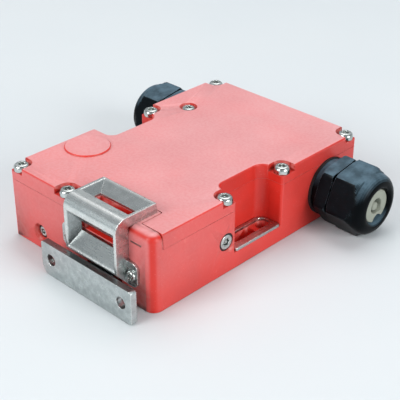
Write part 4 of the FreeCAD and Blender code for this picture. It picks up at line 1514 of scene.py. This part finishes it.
@dataclass
class Studio:
    """Pale floor and backdrop, soft lamps and the camera."""

    camera_at: Point = (0.31676, -0.32904, 0.27218)
    look_at: Point = (0.01716, -0.01736, 0.02009)
    roll: float = 0.00431
    lens: float = 90.9
    sensor: float = 36.0
    near_clip: float = 0.01
    floor_size: float = 8.0
    floor_cells: int = 96
    floor_drop: float = 0.0002
    flat_share: float = 0.3
    bow: float = 0.6
    floor_colours: Tuple[Colour, Colour] = ((0.70, 0.745, 0.765), (0.72, 0.76, 0.775))
    sky_toward: Point = (-0.6, 0.75, -0.28)
    sky_range: Tuple[float, float] = (-0.35, 0.6)
    sky_colours: Tuple[Colour, Colour] = ((0.27, 0.28, 0.3), (1.0, 1.02, 1.05))
    sky_strength: float = 0.84
    lamps: Tuple[Lamp, ...] = (Lamp("overhead", (-0.5, 0.9, 2.6), 2.2, 31.0),
                               Lamp("front", (-0.4, -1.7, 1.1), 1.0, 23.0),
                               Lamp("side", (2.0, 0.1, 0.9), 1.0, 25.0))

    def build(self) -> None:
        """Make everything around the switch."""
        self._floor()
        self._camera()
        for lamp in self.lamps:
            lamp.hang()
        self._sky()

    def _camera(self) -> None:
        """Place the camera and turn it by its small roll."""
        data = bpy.data.cameras.new("camera")
        data.lens = self.lens
        data.sensor_width = self.sensor
        data.clip_start = self.near_clip
        camera = bpy.data.objects.new("camera", data)
        back = (Vector(self.camera_at) - Vector(self.look_at)).normalized()
        right = Vector((0, 0, 1)).cross(back).normalized()
        up = back.cross(right)
        basis = Matrix((right, up, back)).transposed().to_4x4()
        basis = basis @ Matrix.Rotation(self.roll, 4, "Z")
        camera.matrix_world = Matrix.Translation(self.camera_at) @ basis
        bpy.context.collection.objects.link(camera)
        bpy.context.scene.camera = camera
        log.info("placed the camera")

    def _floor(self) -> None:
        """Make the floor, bowed up toward its far rim."""
        half = self.floor_size / 2
        built = bmesh.new()
        bmesh.ops.create_grid(built, x_segments=self.floor_cells, y_segments=self.floor_cells, size=half)
        for vert in built.verts:
            far = max(0.0, vert.co.xy.length - self.floor_size * self.flat_share)
            vert.co.z = far * far * self.bow - self.floor_drop
        for face in built.faces:
            face.smooth = True
        floor = make_object("floor", built)
        graph = Graph.of_material("pale_floor")
        colour = graph.mix(graph.noise(5.0).rise(0.3, 0.7), *self.floor_colours)
        floor.data.materials.append(graph.surface(Base_Color=colour, Roughness=0.7))
        log.info("made the floor")

    def _sky(self) -> None:
        """Light the surroundings, brighter behind the switch than before it."""
        world = bpy.data.worlds.new("surroundings")
        bpy.context.scene.world = world
        graph = Graph(world)
        direction = graph.node("ShaderNodeTexCoord", output="Generated")
        toward = graph.node("ShaderNodeVectorMath", {"operation": "DOT_PRODUCT"},
                            {0: direction, 1: self.sky_toward}, "Value")
        low, high = self.sky_range
        share = graph.node("ShaderNodeMapRange", {}, {"Value": toward, "From Min": low, "From Max": high})
        light = graph.node("ShaderNodeBackground", {},
                           {"Color": graph.mix(share, *self.sky_colours), "Strength": self.sky_strength})
        graph.add("ShaderNodeOutputWorld", {}, {"Surface": light})
        log.info("lit the surroundings")


def main() -> None:
    logging.basicConfig(level=logging.INFO, format="%(message)s")
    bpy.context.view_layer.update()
    bpy.context.scene.view_settings.view_transform = "Standard"
    paint = Paintbox()
    PackedNodes(paint).build()
    MouldedShell(paint, "housing_shell", ("housing_front", "housing_head", "housing_waist", "housing_rear",
                                          "side_flange_right", "side_flange_left")).build()
    MouldedShell(paint, "cover_shell", ("cover_front", "cover_waist", "cover_rear"),
                 let_down=0.00022).build()
    CoverScrews(paint).build()
    GuideScrews(paint).build()
    ReleaseScrew(paint, "release_screw_side", "release_side", Facing.RIGHT,
                 head_radius=3.75, spindle_radius=2.5, socket_radius=2.15).build()
    ReleaseScrew(paint, "release_screw_front", "release_front", Facing.FRONT,
                 head_radius=2.6, spindle_radius=1.9, socket_radius=1.55).build()
    CableGland(paint, "right", Facing.RIGHT).build()
    CableGland(paint, "left", Facing.LEFT).build()
    Studio().build()


if __name__ == "__main__":
    main()
